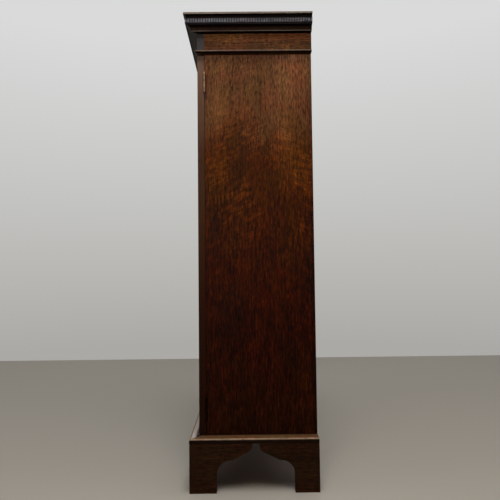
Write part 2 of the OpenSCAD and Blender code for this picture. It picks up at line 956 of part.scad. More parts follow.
// Strip of width w along a bar, lapped past its ends where it doesn't stand on the frame.
module bar_strip(b, w, past_frame) {
    d = b[1] - b[0];
    translate(b[0])
        rotate(-atan2(d[0], d[1]))
            translate([-w / 2, -w / 2])
                square([w, norm(d) + w / 2 + (b[2] ? past_frame : w / 2)]);
}

// Knob with a flat crest where bars meet; it hides their ends, each family a touch thinner.
module bar_joint() {
    rotate([90, 0, 0])
        rotate_extrude()
            intersection() {
                circle(r = joint_r);
                square([joint_r, bar_r + bar_step]);
            }
}

module glazing_bars(side) {
    color(oak)
        in_door(side)
            translate([door_w / 2, shoulder_y, sight_z0 + sight_h / 2]) {
                for (b = lattice) bar(b, bar_r - b[3] * bar_step);
                for (sx = [-1, 1], sz = [-1, 1], z = [hex_z, upper_z])
                    translate([sx * half_w, 0, sz * z]) bar_joint();
                translate([0, rib_d, 0])
                    rotate([90, 0, 0])
                        linear_extrude(rib_d + over)
                            for (b = lattice) bar_strip(b, rib_t, 0);
            }
}

module panes(side) {
    glass_w = sight_w + 2 * (rebate_w - glass_gap);
    glass_h = sight_h + 2 * (rebate_w - glass_gap);
    color("#c8d8d4", 0.35)
        in_door(side)
            translate([door_w / 2, shoulder_y + glass_t, sight_z0 + sight_h / 2])
                rotate([90, 0, 0])
                    linear_extrude(glass_t)
                        difference() {
                            square([glass_w, glass_h], center = true);
                            for (b = lattice) bar_strip(b, rib_t + 2 * glass_gap, 2 * rebate_w);
                        }
}

// Quarter-round bead that holds the glass in its rebate.
module bead_section() {
    w = rebate_w - bead_gap;
    h = rebate_d - glass_t - bead_back;
    difference() {
        square([w, h]);
        difference() {
            translate([-over, h - w / 2]) square([w / 2 + over, w / 2 + over]);
            translate([w / 2, h - w / 2]) circle(r = w / 2);
        }
    }
}

module glazing_beads(side) {
    y = shoulder_y + glass_t;
    color(oak)
        in_door(side) {
            for (s = [-1, 1])
                translate([door_w / 2, y, sight_z0 - rebate_w + bead_gap])
                    mirror([s > 0 ? 0 : 1, 0, 0])
                        translate([sight_w / 2, 0, 0])
                            linear_extrude(sight_h + 2 * (rebate_w - bead_gap))
                                bead_section();
            for (s = [-1, 1])
                translate([sight_x0 + bead_gap / 2, y, sight_z0 + sight_h / 2])
                    mirror([0, 0, s > 0 ? 0 : 1])
                        translate([0, 0, sight_h / 2])
                            rotate([0, -90, 0])
                                mirror([0, 0, 1])
                                    linear_extrude(sight_w - bead_gap) bead_section();
        }
}

// Hinges, drawn for the right-hand side. A leaf lies on the plane y0 and reaches towards +y.

// Foot and length of knuckle k, half a split in from each neighbour.
function knuckle_z(k) = k * knuckle_l + (k > 0 ? knuckle_split / 2 : 0);
function knuckle_h(k) = knuckle_l - (k > 0 && k < knuckle_count - 1 ? 1 : 0.5) * knuckle_split;

module knuckles(kind) {
    for (k = [0 : knuckle_count - 1])
        if (k % 2 == kind)
            translate([axis_x, axis_y, knuckle_z(k)])
                cylinder(r = knuckle_r, h = knuckle_h(k));
}

module hinge_leaf(kind, leaf_y) {
    difference() {
        union() {
            translate([side_x - leaf_w, leaf_y, 0]) cube([leaf_w, leaf_t, hinge_l]);
            intersection() {
                translate([side_x - leaf_w, leaf_y, 0])
                    cube([leaf_w + knuckle_gap + knuckle_r, leaf_t, hinge_l]);
                for (k = [0 : knuckle_count - 1])
                    if (k % 2 == kind)
                        translate([side_x - over, leaf_y - over, knuckle_z(k)])
                            cube([2 * knuckle_r, leaf_t + 2 * over, knuckle_h(k)]);
            }
            knuckles(kind);
        }
        translate([axis_x, axis_y, -over])
            cylinder(r = pin_r + pin_fit, h = hinge_l + 2 * over);
    }
}

module hinge_pin() {
    shank_l = hinge_l + 2 * pin_fit;
    translate([axis_x, axis_y, -pin_fit]) {
        cylinder(r = pin_r, h = shank_l);
        translate([0, 0, -pin_head_h]) cylinder(r = pin_head_r, h = pin_head_h);
        translate([0, 0, shank_l]) cylinder(r = pin_head_r, h = pin_head_h);
    }
}

module case_hinge_leaves() {
    color(brass)
        for (side = [-1, 1], z = hinge_zs)
            hand(side)
                translate([0, 0, door_z + z]) {
                    hinge_leaf(0, case_y);
                    hinge_pin();
                }
}

module door_hinge_leaves(side) {
    color(brass)
        for (z = hinge_zs)
            hand(side)
                translate([0, 0, door_z + z])
                    hinge_leaf(1, door_back_y - leaf_t);
}

// Lock of the right-hand door

module lock_case() {
    color(brass)
        in_door(1)
            difference() {
                union() {
                    translate([selvedge_t, lock_y, lock_z - lock_h / 2])
                        cube([lock_w, lock_d, lock_h]);
                    translate([0, lock_y - over, lock_z - selvedge_h / 2])
                        cube([selvedge_t, lock_d + over, selvedge_h]);
                }
                translate([selvedge_t + lock_wall, lock_y + lock_wall, lock_z - lock_h / 2 + lock_wall])
                    cube([lock_w - 2 * lock_wall, lock_d - 2 * lock_wall, lock_h - 2 * lock_wall]);
                bolt_bar(-over, bolt_fit);
                keyhole(key_r + key_fit, bit_t + 4 * key_fit, lock_y - over, lock_wall + 2 * over);
            }
}

module lock_bolt() {
    color(brass) in_door(1) bolt_bar(0, 0);
}

module key() {
    ring_y = -collar_gap - escutcheon_t - bow_r - 2 * key_r;
    shank_end = bolt_y + bolt_t;
    color(iron)
        in_door(1) {
            translate([key_setback, shank_end, lock_z])
                rotate([90, 0, 0])
                    cylinder(r = key_r, h = shank_end - ring_y - bow_r);
            translate([key_setback, -collar_gap, lock_z])
                rotate([90, 0, 0])
                    cylinder(r = 1.5 * key_r, h = key_r);
            translate([key_setback - bit_t / 2, bit_y, lock_z - bit_r])
                cube([bit_t, bit_d, bit_r]);
            translate([key_setback, ring_y, lock_z])
                rotate([0, 90, 0])
                    rotate_extrude()
                        translate([bow_r, 0]) circle(r = bow_wire_r);
        }
}

module escutcheon() {
    color(brass)
        in_door(1)
            difference() {
                translate([key_setback, 0, lock_z - bit_r / 2])
                    rotate([90, 0, 0])
                        linear_extrude(escutcheon_t) {
                            for (s = [-1, 1])
                                translate([0, s * escutcheon_l / 2]) circle(r = escutcheon_r);
                            square([2 * escutcheon_r, escutcheon_l], center = true);
                        }
                keyhole(keyhole_r, bit_t + 1, -escutcheon_t - over, escutcheon_t + 2 * over);
            }
}

// Bolts of the left-hand door, drawn for the top one and turned over for the bottom one.
// The height is measured from the end of the rod at rest.

module place_top() {
    translate([rod_x, door_back_y, rod_top_rest]) children();
}

module place_bottom() {
    translate([rod_x, door_back_y, rod_bottom_rest]) mirror([0, 0, 1]) children();
}

guide_top = -rod_travel / 2;
guide_low = -plate_l + guide_l;

module bolt_plate() {
    difference() {
        union() {
            translate([-plate_w / 2, 0, -plate_l])
                cube([plate_w, plate_t, plate_l + guide_top + guide_l / 2]);
            for (z = [guide_top, guide_low + guide_l / 2])
                translate([-guide_w / 2, 0, z - guide_l / 2])
                    cube([guide_w, rod_off + rod_r + plate_t, guide_l]);
        }
        translate([0, rod_off, -plate_l - over])
            cylinder(r = rod_r + rod_fit, h = plate_l + 2 * guide_l);
    }
}

module bolt_rod() {
    translate([0, rod_off, -plate_l])
        cylinder(r = rod_r, h = plate_l);
    translate([0, rod_off, (guide_top + guide_low) / 2 - rod_travel / 2])
        rotate([-90, 0, 0])
            cylinder(r = thumb_r, h = thumb_l);
}

module bolt_plates() {
    color(brass) {
        place_top() bolt_plate();
        place_bottom() bolt_plate();
    }
}

module top_bolt() {
    color(brass) place_top() bolt_rod();
}

module bottom_bolt() {
    color(brass) place_bottom() bolt_rod();
}

side_left();
side_right();
case_bottom();
case_top();
for (i = [1 : back_count])
    back_board(i);
for (i = [1 : shelf_count])
    shelf(i);
shelf_pegs();
dust_board();
for (s = ["front", "left", "right"]) {
    frieze(s);
    astragal(s);
    bed_mould(s);
    dentil_strip(s);
    crown_mould(s);
    base_mould(s);
}
for (s = ["left", "right"]) {
    side = s == "right" ? 1 : -1;
    for (e = ["front", "rear"])
        bracket_side(side, e);
    hinge_stile(side);
    meeting_stile(side);
    rails(side);
    glazing_bars(side);
    panes(side);
    glazing_beads(side);
    door_hinge_leaves(side);
}
front_brackets();
rear_brackets();
corner_blocks();
case_hinge_leaves();
lock_case();
lock_bolt();
key();
escutcheon();
bolt_plates();
top_bolt();
bottom_bolt();
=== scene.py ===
# %% [markdown]
# A tall oak display cabinet in Blender
#
# The cabinet has bracket feet, a dentil cornice and a pair of glazed doors. Its carpentry comes
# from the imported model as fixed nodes, one for each board, moulding and fitting. This lesson gives
# each board its oak, each fitting its metal, and adds the screws, nails and pins that hold the
# real one together. Everything is in metres: +Z is up and the front looks along -Y.

# %% Load the cabinet
import math

import bpy
from mathutils import Matrix, Vector


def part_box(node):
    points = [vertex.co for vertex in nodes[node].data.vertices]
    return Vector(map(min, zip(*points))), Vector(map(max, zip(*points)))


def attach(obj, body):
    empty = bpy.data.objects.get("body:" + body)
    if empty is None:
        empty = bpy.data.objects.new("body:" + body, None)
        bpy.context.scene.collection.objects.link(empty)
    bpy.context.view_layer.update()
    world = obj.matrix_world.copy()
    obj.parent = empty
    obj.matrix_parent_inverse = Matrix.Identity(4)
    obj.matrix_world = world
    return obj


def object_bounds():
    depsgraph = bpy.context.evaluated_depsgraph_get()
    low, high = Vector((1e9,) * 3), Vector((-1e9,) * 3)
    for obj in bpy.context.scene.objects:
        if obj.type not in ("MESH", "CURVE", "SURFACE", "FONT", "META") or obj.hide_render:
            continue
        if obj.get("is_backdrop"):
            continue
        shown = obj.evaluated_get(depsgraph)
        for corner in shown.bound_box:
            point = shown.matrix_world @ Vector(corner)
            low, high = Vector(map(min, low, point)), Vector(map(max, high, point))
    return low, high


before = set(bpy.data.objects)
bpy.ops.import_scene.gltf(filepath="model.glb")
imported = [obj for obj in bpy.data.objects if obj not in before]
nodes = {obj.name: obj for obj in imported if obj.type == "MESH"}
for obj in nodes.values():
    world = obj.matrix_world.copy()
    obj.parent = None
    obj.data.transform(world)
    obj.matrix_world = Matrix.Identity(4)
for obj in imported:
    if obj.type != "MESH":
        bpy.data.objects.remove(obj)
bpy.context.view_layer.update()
MM = 0.001

# %% [markdown]
# The camera. The photograph was taken from the right-hand side, a little below the middle of the
# cabinet's height, so the side's upright edges spread towards the floor. The eye's place comes
# from the size of the near side against the far one. The lens is given by its focal length in
# pixels of a 500-pixel frame, and the camera's own axes are built from three small angles.

# %% Camera
FRAME_PX = 500
FOCAL_PX = 460
SENSOR_MM = 36
# The eye's place in metres, and the three angles in radians.
EYE = Vector((2.0359, -0.0081, 0.6881))
TURN, LIFT, ROLL = 0.0049, 0.0467, 0.0107


def place_camera():
    """A camera at the eye, looking along -X, turned, lifted and rolled by the small angles."""
    upright = Vector((0, 0, 1))
    ahead = Vector((-math.cos(TURN), math.sin(TURN), 0))
    right = Vector((math.sin(TURN), math.cos(TURN), 0))
    forward = math.cos(LIFT) * ahead + math.sin(LIFT) * upright
    up = math.cos(LIFT) * upright - math.sin(LIFT) * ahead
    x_axis = math.cos(ROLL) * right - math.sin(ROLL) * up
    y_axis = math.sin(ROLL) * right + math.cos(ROLL) * up
    camera = bpy.data.objects.new("side_view", bpy.data.cameras.new("side_view"))
    camera.data.lens = SENSOR_MM * FOCAL_PX / FRAME_PX
    camera.data.sensor_width = SENSOR_MM
    camera.matrix_world = Matrix.Translation(EYE) @ Matrix(
        (x_axis, y_axis, -forward)).transposed().to_4x4()
    bpy.context.scene.collection.objects.link(camera)
    bpy.context.scene.camera = camera
    return camera


camera = place_camera()
print("lens in mm:", round(camera.data.lens, 2))

# %% [markdown]
# Colours and nodes. Colours are written as sRGB hex codes, as a paint chart gives them, and a
# shader wants linear values, so one function turns one into the other. A second function adds a
# node with its settings and its inputs, where an input is a value or the output of another node.
# It hands back one output of the new node, so each line of code is one step of a pattern.

# %% Colours and new nodes
# Settings of a node that lays one colour over another, and of one that multiplies them. Its
# inputs are numbered: 0 is the share, 6 and 7 are the colours, and its mixed colour is output 2.
OVER = {"data_type": "RGBA", "blend_type": "MIX"}
TIMES = {"data_type": "RGBA", "blend_type": "MULTIPLY"}


def linear(code):
    """Linear red, green, blue and alpha of an sRGB hex code."""
    parts = [int(code[i:i + 2], 16) / 255 for i in (1, 3, 5)]
    return tuple(c / 12.92 if c <= 0.04045 else ((c + 0.055) / 1.055) ** 2.4 for c in parts) + (1,)


def fill_ramp(ramp, stops):
    """The stops of a colour ramp, each a place from 0 to 1 and a linear colour."""
    while len(ramp.elements) < len(stops):
        ramp.elements.new(1.0)
    for element, (at, colour) in zip(ramp.elements, stops):
        element.position = at
        element.color = (*colour, 1)


def add(tree, kind, settings, inputs, output=0):
    """One output of a new node of this kind, with its settings made and its inputs filled."""
    node = tree.nodes.new("ShaderNode" + kind)
    for key, value in settings.items():
        if key == "stops":
            fill_ramp(node.color_ramp, value)
        else:
            setattr(node, key, value)
    for key, value in inputs.items():
        if isinstance(value, bpy.types.NodeSocket):
            tree.links.new(value, node.inputs[key])
        else:
            node.inputs[key].default_value = value
    return node.outputs[output]


def new_material(name):
    """An empty material, its node tree and the socket that takes its surface."""
    material = bpy.data.materials.new(name)
    material.use_nodes = True
    tree = material.node_tree
    tree.nodes.clear()
    return material, tree, tree.nodes.new("ShaderNodeOutputMaterial").inputs["Surface"]


print("oak's middle tone in linear values:", [round(v, 3) for v in linear("#5a3219")[:3]])

# %% [markdown]
# Two steps come back in most of the materials. The first is a share that changes over a real
# distance, such as the last two millimetres before an edge. The second is a cloudy pattern whose
# grains have a real size: the place is divided by that size before it goes into the noise.

# %% A share over a distance, and a pattern of a real size
def grey(share):
    """A linear grey that lets this share of the light through."""
    return (share, share, share)


def between(tree, place, axis, near, far):
    """A share that rises from 0 to 1 as the distance from the middle goes from near to far."""
    along = add(tree, "SeparateXYZ", {}, {0: place}, axis)
    away = add(tree, "Math", {"operation": "ABSOLUTE"}, {0: along})
    return add(tree, "MapRange", {}, {"Value": away, "From Min": near, "From Max": far})


def pattern(tree, place, size, detail=2.0, distortion=0.0):
    """A cloudy pattern whose grains have this size in millimetres along the three axes."""
    scale = [1 / (s * MM) for s in size]
    scaled = add(tree, "VectorMath", {"operation": "MULTIPLY"}, {0: place, 1: scale})
    return add(tree, "TexNoise", {}, {
        "Vector": scaled, "Scale": 1.0, "Detail": detail, "Distortion": distortion})


print("half the light is a grey of", grey(0.5))

# %% [markdown]
# Room. The cabinet stands on a plain pale floor that ends where the wall of the room would be,
# and the wall is the world's own colour, seen by the camera, by reflections and through glass.
# Under the cabinet the floor is painted darker, as a painted shadow of the cabinet. All other rays
# get a plain light from the world, brightest from the ceiling, so that ledges are light.

# %% Floor
FLOOR_LOW, FLOOR_HIGH = Vector((-1.66, -3.4, 0)), Vector((3.4, 3.4, 0))
# The first tone is the painted shadow under the cabinet, the second the open floor.
FLOOR_SHADOW_TONE, FLOOR_OPEN = "#4d3d31", "#847e74"
# The painted shadow under the cabinet ends between these distances from its middle, in metres.
SHADOW_EDGE_X, SHADOW_EDGE_Y = (0.50, 0.565), (0.14, 0.23)


def make_floor():
    """A plain matt floor, one wide sheet with its top at z = 0, painted darker under the cabinet as
    its shadow.
    """
    size = FLOOR_HIGH - FLOOR_LOW
    bpy.ops.mesh.primitive_grid_add(x_subdivisions=8, y_subdivisions=8, size=1,
                                    location=(FLOOR_LOW + FLOOR_HIGH) / 2)
    floor = bpy.context.object
    floor.name = "floor"
    floor.scale = (size.x, size.y, 1)
    bpy.ops.object.transform_apply(location=True, rotation=True, scale=True)
    material, tree, surface = new_material("matt_grey_floor")
    place = add(tree, "TexCoord", {}, {}, "Object")
    # The floor is painted darker under the cabinet, a painted shadow of it.
    clear = add(tree, "Math", {"operation": "MAXIMUM"}, {
        0: between(tree, place, "X", *SHADOW_EDGE_X), 1: between(tree, place, "Y", *SHADOW_EDGE_Y)})
    tone = add(tree, "Mix", OVER, {0: clear, 6: linear(FLOOR_SHADOW_TONE), 7: linear(FLOOR_OPEN)}, 2)
    shader = add(tree, "BsdfPrincipled", {}, {
        "Base Color": tone, "Roughness": 0.7, "Specular IOR Level": 0.2})
    tree.links.new(shader, surface)
    floor.data.materials.append(material)
    floor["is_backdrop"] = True
    return floor


print("floor, in metres:", [round(v, 2) for v in make_floor().dimensions])

# %% Wall and the light from the ceiling
WALL_LOW, WALL_HIGH, CEILING_TONE = "#aba9a5", "#d9dad9", "#f4f5f7"
# A direction's height runs from -1, straight down, to 1, straight up. The wall's tone changes
# over the first range, and the ceiling's light grows over the second.
WALL_RANGE = {"From Min": -0.15, "From Max": 0.45}
CEILING_RANGE = {"From Min": 0.3, "From Max": 0.9, "To Min": 0.03, "To Max": 1.2}


def light_room():
    """The world: wall colours for what is seen, a plain soft light for all else."""
    world = bpy.data.worlds.new("room")
    bpy.context.scene.world = world
    world.use_nodes = True
    tree = world.node_tree
    tree.nodes.clear()
    direction = add(tree, "TexCoord", {}, {}, "Generated")
    height = add(tree, "SeparateXYZ", {}, {0: direction}, "Z")
    up = add(tree, "MapRange", {}, {"Value": height, **WALL_RANGE})
    wall = add(tree, "Mix", OVER, {0: up, 6: linear(WALL_LOW), 7: linear(WALL_HIGH)}, 2)
    strength = add(tree, "MapRange", {}, {"Value": height, **CEILING_RANGE})
    soft = add(tree, "Background", {}, {"Color": linear(CEILING_TONE), "Strength": strength})
    shown = add(tree, "Background", {}, {"Color": wall, "Strength": 1.0})
    seen = add(tree, "LightPath", {}, {}, "Is Camera Ray")
    for ray in ("Is Transmission Ray", "Is Glossy Ray"):
        seen = add(tree, "Math", {"operation": "MAXIMUM"}, {
            0: seen, 1: add(tree, "LightPath", {}, {}, ray)})
    mixed = add(tree, "MixShader", {}, {0: seen, 1: soft, 2: shown})
    tree.links.new(mixed, tree.nodes.new("ShaderNodeOutputWorld").inputs["Surface"])
    return world


print("world:", light_room().name)

# %% [markdown]
# Lamps. Four wide lamps stand around the cabinet, for its upright faces, and a fifth hangs over
# the floor at the right. The two at the sides have a narrow spread, so that their light misses
# the floor under the feet.

# %% Lamps
def add_lamp(name, place, target, size, power, spread=180):
    """A wide, square area lamp that shines from its place to its target, its spread in degrees."""
    lamp = bpy.data.objects.new(name, bpy.data.lights.new(name, "AREA"))
    lamp.data.size = size
    lamp.data.energy = power
    lamp.data.spread = math.radians(spread)
    lamp.location = place
    lamp.rotation_euler = (Vector(target) - Vector(place)).to_track_quat("-Z", "Y").to_euler()
    bpy.context.scene.collection.objects.link(lamp)
    return lamp


# Name, place, target, size in metres, power in watts and, at the sides, the spread.
lamps = [
    add_lamp("lamp_by_camera", (3.4, -0.3, 1.3), (0.5, 0, 1.2), 1.8, 8, 44),
    add_lamp("lamp_before_front", (0.6, -3.0, 3.2), (0, 0, 0.8), 1.8, 25),
    add_lamp("lamp_behind_back", (0.6, 3.0, 3.2), (0, 0, 0.8), 1.8, 25),
    add_lamp("lamp_at_left", (-3.4, 0.3, 1.2), (-0.5, 0, 1.3), 1.6, 8, 36),
    add_lamp("lamp_over_floor", (1.7, 0, 2.6), (1.7, 0, 0), 1.0, 56),
]
print([lamp.name for lamp in lamps])

# %% [markdown]
# Oak. A real board shows three things at once. Long streaks run along the grain, where soft
# spring wood and hard summer wood alternate. Short dark pores lie in them. On a board sawn to the
# heart, pale wavy flecks cross the grain, where the saw opened the rays. Each is a noise stretched
# to its size in millimetres, and a slower one changes the hue from redder to greener wood.
#
# The grain is turned to run along the board, and shifted from board to board, so no two pieces
# carry the same figure. On the wide boards of the sides the rays stand in one band of height and
# fall away on both sides of the line where the saw passed nearest to the heart.

# %% Sizes and strengths of the oak's marks
GRAIN_TURN = {"z": (0, 0, 0), "x": (0, math.pi / 2, 0), "y": (math.pi / 2, 0, 0)}
# Sizes across, through and along the grain; finer pores would not show at this distance.
STREAK = (5, 5, 150)
PORE = (4.2, 4.2, 17)
CLOUD = (75, 75, 330)
FLECK = (42, 42, 9)
FLECK_PATCH = (95, 95, 240)
HUE = (60, 60, 120)
# How much of the tone comes from the clouds, and then from the pores.
CLOUD_SHARE, PORE_SHARE = 0.45, 0.46
# Noise gathers around 0.5, so each kind of mark begins and ends at values close to it.
TONE_RANGE = {"From Min": 0.40, "From Max": 0.60}
PORE_RANGE = {"From Min": 0.36, "From Max": 0.48, "To Min": 0.88}
RAY_RANGE = {"From Min": 0.5, "From Max": 0.56}
PATCH_RANGE = {"From Min": 0.44, "From Max": 0.58}
RAY_GLOW = (1.75, 1.65, 1.36, 1)
# Slow changes of hue from board heart to sapwood: redder, plain, greener.
HUES = ((0.38, (1.0, 0.80, 0.80)), (0.5, (0.93, 0.93, 0.93)), (0.62, (0.88, 0.98, 0.80)))
HUE_SHARE = 0.6
# The rays of the sides fall away from a line this far behind the middle of the side.
RAY_MIDDLE = 78 * MM
# Height above the floor in metres, and how strongly the rays of the sides show there.
RAY_BAND = ((0.75, 0.4), (0.92, 1.0), (1.12, 1.0), (1.23, 0.25))
# A ramp over the height runs from the floor up to here, in metres.
FADE_TOP = 1.5
print("streaks are", STREAK[0], "mm wide, rays", FLECK[2], "mm high")

# %% Tone and rays of the oak
def ramp_over_height(tree, height, stops):
    """A colour ramp over a height, its stops in metres above the floor."""
    share = add(tree, "Math", {"operation": "DIVIDE"}, {0: height, 1: FADE_TOP})
    stops = [(z / FADE_TOP, colour) for z, colour in stops]
    return add(tree, "ValToRGB", {"stops": stops}, {0: share})


def fall_away(tree, place, middle, slope):
    """The place lifted by its distance from the middle, so that level marks fall on both sides."""
    away = add(tree, "SeparateXYZ", {}, {0: place}, "Y")
    away = add(tree, "Math", {"operation": "SUBTRACT"}, {0: away, 1: middle})
    away = add(tree, "Math", {"operation": "ABSOLUTE"}, {0: away})
    lift = add(tree, "Math", {"operation": "MULTIPLY"}, {0: away, 1: slope})
    lift = add(tree, "CombineXYZ", {}, {"Z": lift})
    return add(tree, "VectorMath", {"operation": "ADD"}, {0: place, 1: lift})


def oak_tone(tree, turned, cloud, pore):
    """How light the wood is, from 0 to 1, where streaks, clouds and pores meet."""
    streak = pattern(tree, turned, STREAK, 4.0, 0.3)
    tone = add(tree, "Mix", {}, {0: CLOUD_SHARE, 2: streak, 3: cloud})
    tone = add(tree, "Mix", {}, {0: PORE_SHARE, 2: tone, 3: pore})
    return add(tree, "MapRange", {}, {"Value": tone, **TONE_RANGE})


def oak_rays(tree, place, turned, fleck, ray_fall):
    """How strongly the rays show, from 0 to the fleck share, in patches of the board."""
    ray = pattern(tree, fall_away(tree, turned, RAY_MIDDLE, ray_fall), FLECK, 1.0, 0.8)
    ray = add(tree, "MapRange", {}, {"Value": ray, **RAY_RANGE})
    patch = pattern(tree, turned, FLECK_PATCH, 1.0)
    patch = add(tree, "MapRange", {}, {"Value": patch, **PATCH_RANGE, "To Max": fleck})
    rays = add(tree, "Math", {"operation": "MULTIPLY"}, {0: ray, 1: patch})
    if ray_fall:
        height = add(tree, "SeparateXYZ", {}, {0: place}, "Z")
        band = ramp_over_height(tree, height, [(z, grey(share)) for z, share in RAY_BAND])
        rays = add(tree, "Math", {"operation": "MULTIPLY"}, {0: rays, 1: band})
    return rays


print("the rays of the sides stand from", RAY_BAND[0][0], "to", RAY_BAND[-1][0], "m")

# %% [markdown]
# The tones, rays, hues and pores are laid over one another, and the patina comes last, as it did
# on the real boards. Wax fills most of each pore, so the pores are only a little darker and make
# only a shallow bump.

# %% Waxed oak
# The gloss varies with the clouds by this much around the roughness that is asked for.
GLOSS_RANGE = (-0.08, 0.1)


def waxed_oak(name, light, dark, grain, shift, fleck=0.5, roughness=0.5, specular=0.015,
              ray_fall=0.0, patina=None):
    """Oak of two tones with its grain along an axis, its colour changed by a patina."""
    material, tree, surface = new_material(name)
    place = add(tree, "TexCoord", {}, {}, "Object")
    turned = add(tree, "Mapping", {}, {
        "Vector": place, "Rotation": GRAIN_TURN[grain], "Location": (shift, shift / 3, shift * 2)})
    cloud = pattern(tree, turned, CLOUD, 2.0, 0.4)
    pore = pattern(tree, turned, PORE, 2.0)
    tone = oak_tone(tree, turned, cloud, pore)
    wood = add(tree, "Mix", OVER, {0: tone, 6: linear(dark), 7: linear(light)}, 2)
    hue = pattern(tree, turned, HUE, 1.0, 0.6)
    hue = add(tree, "ValToRGB", {"stops": HUES}, {0: hue})
    wood = add(tree, "Mix", TIMES, {0: HUE_SHARE, 6: wood, 7: hue}, 2)
    rays = oak_rays(tree, place, turned, fleck, ray_fall)
    wood = add(tree, "Mix", TIMES, {0: rays, 6: wood, 7: RAY_GLOW}, 2)
    pores = add(tree, "MapRange", {}, {"Value": pore, **PORE_RANGE})
    wood = add(tree, "Mix", TIMES, {0: 1.0, 6: wood, 7: pores}, 2)
    if patina:
        wood = patina(tree, place, wood)
    bump = add(tree, "Bump", {}, {"Strength": 0.35, "Distance": 0.25 * MM, "Height": pores})
    smooth, rough = (roughness + change for change in GLOSS_RANGE)
    gloss = add(tree, "MapRange", {}, {"Value": cloud, "To Min": smooth, "To Max": rough})
    shader = add(tree, "BsdfPrincipled", {}, {
        "Base Color": wood, "Roughness": gloss, "Specular IOR Level": specular, "Normal": bump})
    tree.links.new(shader, surface)
    return material


print("the oak's grain runs along", sorted(GRAIN_TURN))

# %% [markdown]
# Patina and painted light of the sides and the doors. The sides are nearly black near the floor and
# warm brown at the top, and the lighter, greyer tone of the top is a painted sheen of the room's
# light. The fade follows the height above the floor, so it is a ramp on the piece's own coordinates,
# with a little noise so that it has no level edge.
#
# Soot has settled down the middle of each side, where fewer hands and dusters came, and dirt has
# run down its lower half in short streaks. The back edge is greyer, and under the bead a lighter,
# greyer band is painted light where the bead's shade falls.

# %% Fades over the height
# Height in metres, and the share of red, green and blue light that the patina lets through.
# The lighter, greyer top of this fade is a painted sheen of the room's light.
SIDE_FADE_AND_SHEEN = ((0.18, (0.11, 0.065, 0.034)), (0.30, (0.12, 0.058, 0.019)),
             (0.50, (0.13, 0.043, 0.010)), (0.70, (0.17, 0.070, 0.014)),
             (0.92, (0.23, 0.135, 0.026)), (1.05, (0.46, 0.320, 0.095)),
             (1.15, (0.47, 0.395, 0.290)), (1.27, (0.68, 0.700, 0.730)),
             (1.42, (0.84, 0.850, 0.900)))
MIDDLE_FADE = ((0.90, (1.0, 1.0, 1.0)), (1.0, (0.60, 0.56, 0.50)), (1.04, (0.50, 0.46, 0.40)),
               (1.11, (0.54, 0.50, 0.44)), (1.20, (0.80, 0.80, 0.78)),
               (1.40, (0.64, 0.62, 0.60)))
DOOR_FRONT_FADE = ((0.2, (0.5, 0.45, 0.42)), (1.3, (1.0, 1.0, 1.0)))
DOOR_EDGE_FADE = ((0.27, (0.07, 0.034, 0.017)), (0.60, (0.085, 0.038, 0.015)),
                  (0.92, (0.18, 0.125, 0.070)), (1.09, (0.22, 0.165, 0.120)),
                  (1.25, (0.36, 0.320, 0.270)), (1.39, (0.50, 0.520, 0.540)))
HINGE_FADE = ((0.45, (0.06, 0.04, 0.03)), (1.2, (1.0, 1.0, 1.0)))
# Size in mm of the noise in a fade, and how far it moves the fade up or down, in metres.
UNEVEN, UNEVEN_LIFT = (110, 110, 160), 0.14


def faded_over_height(tree, place, colour, stops):
    """A colour dimmed by a fade over the height, its levels made uneven by a soft noise."""
    uneven = pattern(tree, place, UNEVEN, 2.0)
    lift = add(tree, "MapRange", {}, {
        "Value": uneven, "To Min": -UNEVEN_LIFT, "To Max": UNEVEN_LIFT})
    height = add(tree, "SeparateXYZ", {}, {0: place}, "Z")
    height = add(tree, "Math", {"operation": "ADD"}, {0: height, 1: lift})
    fade = ramp_over_height(tree, height, stops)
    return add(tree, "Mix", TIMES, {0: 1.0, 6: colour, 7: fade}, 2)


print("the foot keeps", SIDE_FADE_AND_SHEEN[0][1][0], "of the top's red")

# %% Patina and painted light of the sides
OUTER_EDGE, BACK_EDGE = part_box("side_right")[1].xy
BEAD_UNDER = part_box("astragal_right")[0].z
# Places across the side, from front to back in metres, and how far dusters rubbed the soot away.
RUBBED = ((-0.10, 0.4), (-0.055, 0.0), (0.055, 0.0), (0.10, 1.0))
# Size of a streak of dirt in mm, what its noise does to the light, and the heights in metres
# where streaks begin and where they show in full.
DIRT_STREAK = (6, 6, 34)
DIRT_RANGE = {"From Min": 0.35, "From Max": 0.65, "To Min": 0.5, "To Max": 1.5}
DIRT_BAND = {"From Min": 1.15, "From Max": 0.85}
# A lighter, greyer band is painted under the bead, where its shade falls, and the greyer strip lies
# along the back edge.
BEAD_LIGHT_BAND = {"From Min": BEAD_UNDER - 24 * MM, "From Max": BEAD_UNDER - 10 * MM}
BACK_STRIP = (BACK_EDGE - 22 * MM, BACK_EDGE - 4 * MM)
BACK_TONE, BEAD_PAINTED_LIGHT = "#cfd0d8", (1.6, 1.8, 2.3, 1)


